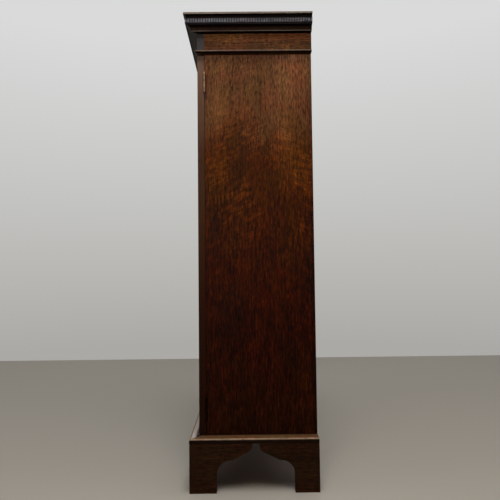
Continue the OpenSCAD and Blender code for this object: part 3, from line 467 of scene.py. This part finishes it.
def side_patina_and_light(tree, place, wood):
    """Dark at the foot, warm with a painted sheen at the top, sooty down the middle, greyer at the
    back edge and painted lighter under the bead.
    """
    wood = faded_over_height(tree, place, wood, SIDE_FADE_AND_SHEEN)
    sooty = faded_over_height(tree, place, wood, MIDDLE_FADE)
    across = add(tree, "SeparateXYZ", {}, {0: place}, "Y")
    across = add(tree, "MapRange", {}, {
        "Value": across, "From Min": -BACK_EDGE, "From Max": BACK_EDGE})
    stops = [(0.5 + y / (2 * BACK_EDGE), grey(share)) for y, share in RUBBED]
    rubbed = add(tree, "ValToRGB", {"stops": stops}, {0: across})
    wood = add(tree, "Mix", OVER, {0: rubbed, 6: sooty, 7: wood}, 2)
    height = add(tree, "SeparateXYZ", {}, {0: place}, "Z")
    low = add(tree, "MapRange", {}, {"Value": height, **DIRT_BAND})
    dirt = pattern(tree, place, DIRT_STREAK, 2.0)
    dirt = add(tree, "MapRange", {}, {"Value": dirt, **DIRT_RANGE})
    dirty = add(tree, "Mix", TIMES, {0: 1.0, 6: wood, 7: dirt}, 2)
    wood = add(tree, "Mix", OVER, {0: low, 6: wood, 7: dirty}, 2)
    back = between(tree, place, "Y", *BACK_STRIP)
    wood = add(tree, "Mix", TIMES, {0: back, 6: wood, 7: linear(BACK_TONE)}, 2)
    # Painted light under the bead, where its shade falls.
    lightening = add(tree, "MapRange", {}, {"Value": height, **BEAD_LIGHT_BAND})
    return add(tree, "Mix", TIMES, {0: lightening, 6: wood, 7: BEAD_PAINTED_LIGHT}, 2)


print("the bead's underside is", round(BEAD_UNDER / MM), "mm up")

# %% Patina of the doors and their hinges
# The outer edge of the doors, measured from the middle of the cabinet.
DOOR_EDGE = (OUTER_EDGE - 3 * MM, OUTER_EDGE - 1 * MM)
DOOR_EDGE_TONE, DOOR_EDGE_SHARE = "#6e584b", 0.6


def door_patina(tree, place, wood):
    """A mild fade on the front of the door, and a greyer one like the side's on its edge."""
    front = faded_over_height(tree, place, wood, DOOR_FRONT_FADE)
    edge = add(tree, "Mix", OVER, {0: DOOR_EDGE_SHARE, 6: wood, 7: linear(DOOR_EDGE_TONE)}, 2)
    edge = faded_over_height(tree, place, edge, DOOR_EDGE_FADE)
    outer = between(tree, place, "X", *DOOR_EDGE)
    return add(tree, "Mix", OVER, {0: outer, 6: front, 7: edge}, 2)


def hinge_patina(tree, place, metal):
    """The lower hinges have gone black with the doors' feet."""
    return faded_over_height(tree, place, metal, HINGE_FADE)


print("the doors' edges lie beyond", round(DOOR_EDGE[0] / MM), "mm from the middle")

# %% [markdown]
# Painted shade and highlights of the mouldings. Their hollows and the undersides of overhanging
# edges are painted dark as shade, and their crests lighter as painted highlights. A moulding is the
# same all along, so this painted shade and light is a ramp over its own height. The ledge over the
# base is painted paler with dust and light, with a painted line of shade where it meets the face
# above it, and between the dentils the strip behind them is painted black as shade. At the back,
# dirt has settled in the joints between the boards.
#
# Some of these functions return the patina of one node, which then remembers that node's box.

# %% Patina of the frieze
# The frieze is darker over its lower half.
FRIEZE_LOW_DARKENING = ((0.08, grey(0.44)), (0.30, grey(0.46)), (0.42, (0.75, 0.72, 0.68)),
               (0.60, grey(1.0)))
END_GRAIN = "#2a2726"


def dimmed_over_height(tree, place, wood, node, stops):
    """Wood dimmed by a ramp over the height of the node's own box, 0 its foot and 1 its top."""
    low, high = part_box(node)
    height = add(tree, "SeparateXYZ", {}, {0: place}, "Z")
    share = add(tree, "MapRange", {}, {"Value": height, "From Min": low.z, "From Max": high.z})
    dimming = add(tree, "ValToRGB", {"stops": stops}, {0: share})
    return add(tree, "Mix", TIMES, {0: 1.0, 6: wood, 7: dimming}, 2)


def frieze_patina(tree, place, wood):
    """Darker over the lower half of the frieze."""
    return dimmed_over_height(tree, place, wood, "frieze_right", FRIEZE_LOW_DARKENING)


def frieze_ends(tree, place, wood):
    """The frieze's darkening low down, and grey, dark end grain on the two ends of the front board.
    """
    wood = frieze_patina(tree, place, wood)
    end_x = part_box("frieze_front")[1].x
    end = between(tree, place, "X", end_x - 2 * MM, end_x - 1 * MM)
    return add(tree, "Mix", OVER, {0: end, 6: wood, 7: linear(END_GRAIN)}, 2)


print("the frieze's soot has", len(FRIEZE_LOW_DARKENING), "stops from its foot to its top")

# %% Painted shade and highlights of the mouldings
LEDGE_DUST_AND_LIGHT, LEDGE_CONTACT_SHADE = "#8d847d", "#120805"
# A surface's normal points up by 1 on a ledge, by 0 on a wall and by -1 on an underside. Painted
# shade comes in over the first range, and dust with painted light over the second.
SHADED_UNDERSIDE = {"From Min": -0.4, "From Max": -0.8}
LEDGE = {"From Min": 0.9, "From Max": 1.0}
# The painted shade on a ledge is full up to the first distance from the face over it, gone at the
# second.
CONTACT_SHADE_LINE = (5 * MM, 14 * MM)


def mould_shading(node, stops, underside_shade_tone):
    """Painted shade in the hollows and on the undersides of a moulding, painted highlights on its
    crests, by height.
    """
    def patina(tree, place, wood):
        wood = dimmed_over_height(tree, place, wood, node, stops)
        up = add(tree, "SeparateXYZ", {}, {0: add(tree, "NewGeometry", {}, {}, "Normal")}, "Z")
        # Undersides are painted dark as shade, those of the front runs lighter as painted light.
        shaded_under = add(tree, "MapRange", {}, {"Value": up, **SHADED_UNDERSIDE})
        return add(tree, "Mix", OVER, {0: shaded_under, 6: wood, 7: linear(underside_shade_tone)}, 2)
    return patina


def ledge_shading(node, stops, underside_shade_tone, axis, face, lightening):
    """A moulding's painted shade and highlights, its ledge painted paler with dust and light, with a
    painted line of shade at the face over it.
    """
    shaded_moulding = mould_shading(node, stops, underside_shade_tone)
    shade_line = [face + past for past in CONTACT_SHADE_LINE]

    def patina(tree, place, wood):
        wood = shaded_moulding(tree, place, wood)
        up = add(tree, "SeparateXYZ", {}, {0: add(tree, "NewGeometry", {}, {}, "Normal")}, "Z")
        # An upward ledge is painted paler, partly with dust and partly as painted light.
        level = add(tree, "MapRange", {}, {"Value": up, **LEDGE, "To Max": lightening})
        paler_ledge = add(tree, "Mix", OVER, {0: level, 6: wood, 7: linear(LEDGE_DUST_AND_LIGHT)}, 2)
        # A line of painted shade lies where the ledge meets the face above it.
        clear = between(tree, place, axis, *shade_line)
        return add(tree, "Mix", OVER, {0: clear, 6: linear(LEDGE_CONTACT_SHADE), 7: paler_ledge}, 2)
    return patina


# This line of dirt is painted shade where a ledge meets the face over it.
print("dirt reaches", round(CONTACT_SHADE_LINE[1] / MM), "mm out over a ledge")

# %% Painted shade of the dentils, and dirt of the back boards
# The dentils are painted dark at both ends as shade, and the strip between them black as shade.
DENTIL_END_SHADE = ((0.0, (0.05, 0.04, 0.04)), (0.16, (0.05, 0.04, 0.04)), (0.36, grey(1.0)),
               (0.80, grey(1.0)), (1.0, grey(0.4)))
DENTIL_DEPTH = 4 * MM
DENTIL_GAP_SHADE, JOINT_TONE = "#171212", "#2a1d12"
# The dirt of a joint begins and is in full this far from the board's edge.
JOINT_DIRT = (4 * MM, 2 * MM)


def dentil_shading(node, axis):
    """Painted shade behind the dentils and at their two ends."""
    across = "XYZ".index(axis)
    face = max(abs(corner[across]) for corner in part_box(node))

    def patina(tree, place, wood):
        wood = dimmed_over_height(tree, place, wood, node, DENTIL_END_SHADE)
        out = between(tree, place, axis, face - DENTIL_DEPTH + 0.5 * MM, face - 1 * MM)
        return add(tree, "Mix", OVER, {0: out, 6: linear(DENTIL_GAP_SHADE), 7: wood}, 2)
    return patina


def board_edges(node):
    """Dirt along the two long edges of a back board, so that each joint shows as a line."""
    low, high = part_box(node)
    middle, half = (low.x + high.x) / 2, (high.x - low.x) / 2
    edge_band = [half - inside for inside in JOINT_DIRT]

    def patina(tree, place, wood):
        centred = add(tree, "VectorMath", {"operation": "SUBTRACT"}, {0: place, 1: (middle, 0, 0)})
        edge = between(tree, centred, "X", *edge_band)
        return add(tree, "Mix", OVER, {0: edge, 6: wood, 7: linear(JOINT_TONE)}, 2)
    return patina


print("the dentils stand", round(DENTIL_DEPTH / MM), "mm out of their strip")

# %% [markdown]
# Metals and glass. Hinges, lock, bolts and escutcheon are cast or rolled brass that has dulled in
# the air. The key is forged iron.
#
# Old window glass is thin and clear. Seen straight on it reflects a few hundredths of the light,
# and seen at a glance nearly all of it, and the share grows with the fifth power of how far the
# surface turns away. That share is the pane's opacity. Blender's Fresnel node isn't used here: it
# takes the far face of a pane for the inside of a block of glass and makes it a mirror too soon.

# %% Brass and iron
# Sizes in mm of the stains and of the scratches.
STAIN, SCRATCH = (9, 9, 9), (0.8, 0.8, 6)
STAIN_RANGE, STAIN_ROUGHER = {"From Min": 0.35, "From Max": 0.65}, 0.15


def aged_metal(name, light, dark, roughness, patina=None):
    """Metal of two tones in soft clouds, duller where it is dark, changed by a patina."""
    material, tree, surface = new_material(name)
    place = add(tree, "TexCoord", {}, {}, "Object")
    clean = pattern(tree, place, STAIN, 4.0, 0.5)
    clean = add(tree, "MapRange", {}, {"Value": clean, **STAIN_RANGE})
    metal = add(tree, "Mix", OVER, {0: clean, 6: linear(dark), 7: linear(light)}, 2)
    if patina:
        metal = patina(tree, place, metal)
    gloss = add(tree, "MapRange", {}, {
        "Value": clean, "To Min": roughness + STAIN_ROUGHER, "To Max": roughness})
    scratch = pattern(tree, place, SCRATCH, 2.0)
    bump = add(tree, "Bump", {}, {"Strength": 0.2, "Distance": 0.1 * MM, "Height": scratch})
    shader = add(tree, "BsdfPrincipled", {}, {
        "Base Color": metal, "Metallic": 1.0, "Roughness": gloss, "Normal": bump})
    tree.links.new(shader, surface)
    return material


# Rolled brass dulls to a warm brown with soft reflections, and hinges dull more than plates.
brass = aged_metal("aged_brass", "#86663f", "#46331f", 0.36)
hinge_brass = aged_metal("aged_brass_hinges", "#76563f", "#3e2c20", 0.36, patina=hinge_patina)
# Forged iron is grey and rougher, because the hammer and the fire leave it uneven.
iron = aged_metal("forged_iron", "#6b6560", "#3a3532", 0.42)
print("metals:", brass.name, hinge_brass.name, iron.name)

# %% Glass
# Size in mm of the waves that drawing leaves in the glass.
WAVE = (90, 90, 60)
# The share of the light that it reflects straight on, and the power by which that grows.
GLASS_STRAIGHT, GLASS_POWER = 0.035, 5.0


def window_glass():
    """Drawn glass with faint waves: clear straight on, a mirror at a glance."""
    material, tree, surface = new_material("drawn_window_glass")
    place = add(tree, "TexCoord", {}, {}, "Object")
    wave = pattern(tree, place, WAVE, 1.0)
    bump = add(tree, "Bump", {}, {"Strength": 0.15, "Distance": 2 * MM, "Height": wave})
    away = add(tree, "LayerWeight", {}, {"Blend": 0.5, "Normal": bump}, "Facing")
    glance = add(tree, "Math", {"operation": "POWER"}, {0: away, 1: GLASS_POWER})
    glance = add(tree, "MapRange", {}, {"Value": glance, "To Min": GLASS_STRAIGHT})
    shader = add(tree, "BsdfPrincipled", {}, {
        "Base Color": linear("#e6efec"), "Metallic": 1.0, "Roughness": 0.02, "Alpha": glance,
        "Normal": bump})
    tree.links.new(shader, surface)
    return material


glass = window_glass()
print("glass:", glass.name)

# %% [markdown]
# Dressing the nodes. The grain of each board runs the way a joiner would lay it: upright in the
# sides, stiles and back boards, along the length in rails, shelves and mouldings. The shift of
# each oak is a place in the noise, chosen so that neighbours differ.

# %% How each moulding is painted with shade and highlights
SIDES = ("left", "right")
RUN_GRAIN = {"front": "x", "left": "y", "right": "y"}
# The undersides are painted as shade: black on the sides and under the base moulds, and lighter on
# the front runs, painted as if they caught some light from the room.
UNDERSIDE_SHADE = {"front": "#4a4644", "left": "#0a0503", "right": "#0a0503"}
BASE_UNDERSIDE_SHADE = "#0a0503"
# The axis across each base mould, where the face over it stands, and how strongly its ledge is
# painted paler with dust and light.
BASE_LEDGE = {"front": ("Y", -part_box("right_door_hinge_stile")[0].y, 0.8),
              "left": ("X", OUTER_EDGE, 0.0), "right": ("X", OUTER_EDGE, 0.0)}
# The first tone is painted shade, the second leaves the wood unshaded.
PAINTED_SHADE_TONE, UNSHADED_TONE = (0.04, 0.026, 0.02), grey(1.0)
# Light tone, dark tone, and the painted shade and highlights from the foot of the moulding to its
# top.
MOULD_SHADE_AND_HIGHLIGHT = {
    "crown_mould": ("#60564d", "#4b423b", ((0.0, PAINTED_SHADE_TONE), (0.52, PAINTED_SHADE_TONE), (0.62, UNSHADED_TONE))),
    "bed_mould": ("#4b4038", "#382f29", ((0.0, UNSHADED_TONE), (0.16, UNSHADED_TONE), (0.22, (0.2, 0.13, 0.09)),
                                         (0.5, (0.3, 0.18, 0.12)), (0.9, (0.6, 0.36, 0.26)))),
    "astragal": ("#4e3e35", "#3c2f27", ((0.0, PAINTED_SHADE_TONE), (0.2, (0.1, 0.06, 0.04)), (0.45, UNSHADED_TONE))),
    "base_mould": ("#77634f", "#5c4a3b", ((0.0, PAINTED_SHADE_TONE), (0.7, PAINTED_SHADE_TONE), (0.88, UNSHADED_TONE),
                                          (0.98, UNSHADED_TONE), (1.0, (0.46, 0.33, 0.22)))),
}
print("mouldings with their own wear:", list(MOULD_SHADE_AND_HIGHLIGHT))

# %% Oak for the sides, the frieze and the mouldings
def dress(node, material):
    """The node's own material slots all take this material."""
    for slot in nodes[node].material_slots:
        slot.material = material


def run_shading(mould, place, stops):
    """The painted shade and highlights of one run of a moulding, with dust on the base's ledge."""
    node = f"{mould}_{place}"
    if mould == "base_mould":
        return ledge_shading(node, stops, BASE_UNDERSIDE_SHADE, *BASE_LEDGE[place])
    return mould_shading(node, stops, UNDERSIDE_SHADE[place])


# Oak that was planed by hand and waxed for generations: a warm brown with a soft gloss.
for side, shift in zip(SIDES, (3.7, 0.0)):
    dress(f"side_{side}", waxed_oak(f"waxed_oak_side_{side}", "#6d4326", "#3a2212", "z", shift,
                                    fleck=1.0, ray_fall=0.45, patina=side_patina_and_light))
for place, grain in RUN_GRAIN.items():
    # The frieze is waxed like the sides, and darker low down.
    frieze_age = frieze_ends if place == "front" else frieze_patina
    dress(f"frieze_{place}", waxed_oak(f"waxed_oak_frieze_{place}", "#603a1f", "#301d0e", grain,
                                       1.3, fleck=0.8, patina=frieze_age))
    # Moulding planes leave crests and hollows: the crests are painted lighter as highlights, the
    # hollows black as shade.
    for mould, (light, dark, stops) in MOULD_SHADE_AND_HIGHLIGHT.items():
        dress(f"{mould}_{place}", waxed_oak(f"shade_painted_oak_{mould}_{place}", light, dark, grain, 2.1,
                                            fleck=0.2, patina=run_shading(mould, place, stops)))
    # The faces of the dentils are painted grey and hardly brown, a painted reflection of the room's
    # light.
    dentil_shade_layer = dentil_shading(f"dentil_strip_{place}", "Y" if place == "front" else "X")
    dress(f"dentil_strip_{place}", waxed_oak(f"sheen_grey_oak_dentils_{place}", "#4e4e51", "#232226",
                                             grain, 2.9, fleck=0.1, patina=dentil_shade_layer))
print("dressed the sides, the frieze and", len(MOULD_SHADE_AND_HIGHLIGHT) + 1, "mouldings")

# %% [markdown]
# Feet and inside. The feet are the darkest oak. A board that nobody sees was never stained, so the
# inside is a paler, drier oak. The back boards came from four different planks, so each has its
# own tone, and dirt has settled in the joints between them.

# %% Oak for the feet, the back and the inside
# Floor dirt and wet mops have turned the feet nearly black, with little figure left to see.
foot_oak = {grain: waxed_oak(f"dark_oak_foot_{grain}", "#28160a", "#150b05", grain, 5.2, fleck=0.3)
            for grain in ("x", "y")}
for side in SIDES:
    for end in ("front", "rear"):
        dress(f"bracket_{side}_{end}", foot_oak["y"])
dress("front_brackets", foot_oak["x"])

# Oak that was sawn and planed but never waxed: paler, rougher and with a duller shine.
plain_oak = [waxed_oak(f"plain_oak_{grain}_{shift}", "#8a6540", "#6b4a2c", grain, shift, fleck=0.3,
                       roughness=0.6, specular=0.2)
             for grain, shift in (("z", 6.1), ("x", 8.3), ("x", 9.9))]
upright_oak, level_oak, other_level_oak = plain_oak
dress("corner_blocks", upright_oak)
for node in ("case_bottom", "shelf_2", "case_top"):
    dress(node, level_oak)
for node in ("shelf_1", "shelf_3", "dust_board", "rear_brackets"):
    dress(node, other_level_oak)

BACK_TONES = (("#8f6b46", "#6f4e30"), ("#7c5a39", "#5f4228"), ("#96714b", "#755436"),
              ("#84613e", "#66482c"))
for i, (light, dark) in enumerate(BACK_TONES, 1):
    dress(f"back_board_{i}", waxed_oak(
        f"plain_oak_back_{i}", light, dark, "z", 6.1 + 1.7 * i, fleck=0.3, roughness=0.6,
        specular=0.2, patina=board_edges(f"back_board_{i}")))
print("dressed the feet, the inside and", len(BACK_TONES), "back boards")

# %% Oak, glass and metal for the doors
# The doors are waxed oak, a little redder than the sides where hands have polished them.
for side, shift in zip(SIDES, (11.0, 12.6)):
    upright, level = [waxed_oak(f"waxed_oak_{piece}_{side}", "#6c3e1f", "#3f230f", grain, shift,
                                fleck=0.4, patina=door_patina)
                      for piece, grain in (("stile", "z"), ("rail", "x"))]
    for piece in ("hinge_stile", "meeting_stile", "glazing_bars", "glazing_beads"):
        dress(f"{side}_door_{piece}", upright)
    dress(f"{side}_door_rails", level)
    dress(f"{side}_door_panes", glass)
    dress(f"{side}_door_hinge_leaves", hinge_brass)
dress("case_hinge_leaves", hinge_brass)
for node in ("lock_case", "lock_bolt", "escutcheon", "bolt_plates",
             "top_bolt", "bottom_bolt", "shelf_pegs"):
    dress(node, brass)
dress("key", iron)
print(len(bpy.data.materials), "materials")

# %% [markdown]
# Heads of screws, pins and nails. A head is modelled once, at the origin: a disc is raised by
# three extrusions, and the last two are drawn in, so that it gets a low dome. For a screw, a thin
# bar is then cut out of it for the slot. Copies of the head are turned to face out of the metal,
# each with its slot at its own angle, as a hand leaves them, and joined into one piece. The
# modelled heads themselves are removed at the end.

# %% Model a head
HEAD_SIDES = 20
# The steps of the dome: a share of its height, and the share of its width that the step keeps.
DOME = ((0.6, 0.93), (0.4, 0.75))


def clear_selection():
    """Nothing selected, and no object being edited."""
    if bpy.context.object and bpy.context.object.mode != "OBJECT":
        bpy.ops.object.mode_set(mode="OBJECT")
    bpy.ops.object.select_all(action="DESELECT")


def cut_slot(piece, length, width, depth, top):
    """A straight slot cut out of the top of a head with a thin bar."""
    clear_selection()
    bpy.ops.mesh.primitive_cube_add(size=1, location=(0, 0, top))
    bar = bpy.context.object
    bar.scale = (length, width, depth)
    bpy.ops.object.transform_apply(location=True, rotation=True, scale=True)
    clear_selection()
    piece.select_set(True)
    bpy.context.view_layer.objects.active = piece
    cut = piece.modifiers.new("slot", "BOOLEAN")
    cut.operation = "DIFFERENCE"
    cut.object = bar
    bpy.ops.object.modifier_apply(modifier="slot")
    bpy.data.objects.remove(bar)


def head(name, radius, sunk, proud, slot_w):
    """A round head on the z axis, domed by its proud height, with a slot where slot_w is given."""
    clear_selection()
    bpy.ops.mesh.primitive_circle_add(vertices=HEAD_SIDES, radius=radius, fill_type="NGON",
                                      location=(0, 0, -sunk))
    piece = bpy.context.object
    piece.name = name
    bpy.ops.object.mode_set(mode="EDIT")
    bpy.ops.mesh.select_all(action="SELECT")
    for rise, shrink in ((sunk, 1.0), *((proud * share, shrink) for share, shrink in DOME)):
        bpy.ops.mesh.extrude_region_move(TRANSFORM_OT_translate={"value": (0, 0, rise)})
        bpy.ops.transform.resize(value=(shrink, shrink, 1))
    bpy.ops.mesh.select_all(action="SELECT")
    bpy.ops.mesh.normals_make_consistent(inside=False)
    bpy.ops.object.mode_set(mode="OBJECT")
    bpy.ops.object.transform_apply(location=True, rotation=True, scale=True)
    if slot_w:
        # The bar is longer than the head is wide, so the slot runs from edge to edge.
        cut_slot(piece, 3 * radius, slot_w, 1.2 * (proud + sunk), proud)
    return piece


# Name, radius, how deep it sits in, how far it stands out, and the width of its slot.
hinge_screw = head("hinge_screw", 3.1 * MM, 0.5 * MM, 0.22 * MM, 0.8 * MM)
small_screw = head("small_screw", 2.1 * MM, 0.5 * MM, 0.3 * MM, 0.6 * MM)
pin_head = head("pin_head", 1.3 * MM, 0.4 * MM, 0.6 * MM, 0)
nail_head = head("nail_head", 2.4 * MM, 0.4 * MM, 0.2 * MM, 0)
print("faces of a hinge screw:", len(hinge_screw.data.polygons))

# %% Set the copies of a head
# The angle of the first slot and the step to the next, in radians.
FIRST_SPIN, SPIN_STEP = 0.4, 1.9


def set_heads(name, model, spots, facing, body, material):
    """Copies of a head at these spots, facing one way, joined into one piece on a body."""
    turn = Vector(facing).to_track_quat("Z", "Y").to_matrix().to_4x4()
    copies = []
    for i, spot in enumerate(spots):
        spin = Matrix.Rotation(FIRST_SPIN + SPIN_STEP * i, 4, "Z")
        copy = model.copy()
        copy.data = model.data.copy()
        copy.data.transform(Matrix.Translation(spot) @ turn @ spin)
        bpy.context.scene.collection.objects.link(copy)
        copies.append(copy)
    clear_selection()
    for copy in copies:
        copy.select_set(True)
    bpy.context.view_layer.objects.active = copies[0]
    bpy.ops.object.join()
    piece = bpy.context.object
    piece.name = name
    piece.data.name = name
    piece.data.materials.append(material)
    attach(piece, body)
    return piece


print("slots turn by", round(math.degrees(SPIN_STEP)), "degrees from one screw to the next")

# %% [markdown]
# Screws in their places. The places come from the nodes' own boxes, so a screw stays on its leaf
# wherever the hinge is. Each hinge leaf takes three screws, set in line.

# %% Screws of the hinges
HINGE_L, LEAF_W = 66 * MM, 16 * MM
# How far the pin of a hinge stands out past its leaves, above and below.
PIN_PAST = 2 * MM
# Places of the three screws as shares of the leaf's length.
LEAF_SCREWS = (0.16, 0.5, 0.84)
SIGN = {"left": -1, "right": 1}
TO_FRONT, TO_BACK, TO_LEFT = (0, -1, 0), (0, 1, 0), (-1, 0, 0)
case_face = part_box("side_right")[0].y
door_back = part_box("right_door_hinge_stile")[1].y


def leaf_spots(side, y):
    """Three screw places on each of the two hinges of one side."""
    low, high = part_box("case_hinge_leaves")
    x = SIGN[side] * (OUTER_EDGE - LEAF_W / 2)
    feet = (low.z + PIN_PAST, high.z - PIN_PAST - HINGE_L)
    return [(x, y, foot + HINGE_L * share) for foot in feet for share in LEAF_SCREWS]


made = [set_heads("case_hinge_screws", hinge_screw,
                  leaf_spots("left", case_face) + leaf_spots("right", case_face),
                  TO_FRONT, "case", brass)]
for side in SIDES:
    made.append(set_heads(f"{side}_door_hinge_screws", hinge_screw, leaf_spots(side, door_back),
                          TO_BACK, f"{side}_door", brass))
print([piece.name for piece in made])

# %% Screws of the lock and bolts, pins of the escutcheon
# The lock's edge plate is this thick, its back plate this tall on each side of the middle, and
# its screws sit this far from the ends.
SELVEDGE_T, LOCK_HALF, LOCK_INSET = 2 * MM, 27 * MM, 5 * MM
PIN_INSET = 3 * MM
# Length and thickness of a bolt's plate, and how far its screws sit beside the bolt.
PLATE_L, PLATE_T, PLATE_EDGE = 55 * MM, 1.4 * MM, 6 * MM
PLATE_SCREWS = (0.3, 0.7)
low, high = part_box("lock_case")
middle = (low + high) / 2
made = [
    set_heads("lock_plate_screws", small_screw,
              [(x, high.y, middle.z + s * (LOCK_HALF - LOCK_INSET))
               for x in (low.x + SELVEDGE_T + LOCK_INSET, high.x - LOCK_INSET) for s in (-1, 1)],
              TO_BACK, "right_door", brass),
    set_heads("selvedge_screws", small_screw,
              [(low.x, middle.y, middle.z + s * ((high.z - low.z) / 2 - LOCK_INSET))
               for s in (-1, 1)],
              TO_LEFT, "right_door", brass)]
low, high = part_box("escutcheon")
made.append(set_heads(
    "escutcheon_pins", pin_head,
    [((low.x + high.x) / 2, low.y, z) for z in (low.z + PIN_INSET, high.z - PIN_INSET)],
    TO_FRONT, "right_door", brass))
low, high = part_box("bolt_plates")
bolt_x = (low.x + high.x) / 2
made.append(set_heads(
    "bolt_plate_screws", small_screw,
    [(bolt_x + sx * PLATE_EDGE, low.y + PLATE_T, z + PLATE_L * share)
     for sx in (-1, 1) for z in (low.z, high.z - PLATE_L) for share in PLATE_SCREWS],
    TO_BACK, "left_door", brass))
print([piece.name for piece in made])

# %% [markdown]
# Nails. The back boards are nailed through to the case top and bottom, and the outer boards into
# the rebates of the sides. Iron nails stand out of the wood by a fifth of a millimetre. The
# glazing beads are held by fine brads.

# %% Nails of the back
# Places of the two nails at each end of a board, as shares of its width.
BOARD_NAILS = (0.2, 0.8)
# The nails along a side: how far in, the lowest one's height and the step to the next.
NAIL_INSET, NAIL_FOOT, NAIL_STEP, SIDE_NAILS = 14 * MM, 300 * MM, 200 * MM, 6
back_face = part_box("back_board_1")[1].y
spots = []
for i in range(1, len(BACK_TONES) + 1):
    low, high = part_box(f"back_board_{i}")
    for board in ("case_bottom", "case_top"):
        level = sum(corner.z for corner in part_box(board)) / 2
        spots += [(low.x + (high.x - low.x) * share, back_face, level) for share in BOARD_NAILS]
for side in SIDES:
    x = SIGN[side] * (OUTER_EDGE - NAIL_INSET)
    spots += [(x, back_face, NAIL_FOOT + NAIL_STEP * k) for k in range(SIDE_NAILS)]
set_heads("back_nails", nail_head, spots, TO_BACK, "case", iron)
print(len(spots), "nails in the back")

# %% Brads of the glazing beads
# How far the brads sit in from the outside of the beads, and how many go up and along.
BRAD_INSET, BRADS_UP, BRADS_ALONG = 3 * MM, 8, 4
brad = head("brad", 0.8 * MM, 0.3 * MM, 0.2 * MM, 0)
for side in SIDES:
    low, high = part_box(f"{side}_door_glazing_beads")
    spots = [(x, high.y, low.z + (high.z - low.z) * (k + 0.5) / BRADS_UP)
             for x in (low.x + BRAD_INSET, high.x - BRAD_INSET) for k in range(BRADS_UP)]
    spots += [(low.x + (high.x - low.x) * (k + 0.5) / BRADS_ALONG, high.y, z)
              for z in (low.z + BRAD_INSET, high.z - BRAD_INSET) for k in range(BRADS_ALONG)]
    set_heads(f"{side}_door_brads", brad, spots, TO_BACK, f"{side}_door", iron)
for model in (hinge_screw, small_screw, pin_head, nail_head, brad):
    bpy.data.objects.remove(model)
print(len(spots), "brads in each door")

# %% [markdown]
# View. The Standard view shows each colour as it is written. The box printed here gives the visual
# size of the dressed cabinet.

# %% Finish
bpy.context.scene.view_settings.view_transform = "Standard"
low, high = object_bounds()
print("visual size in mm:", [round(v / MM, 1) for v in high - low])
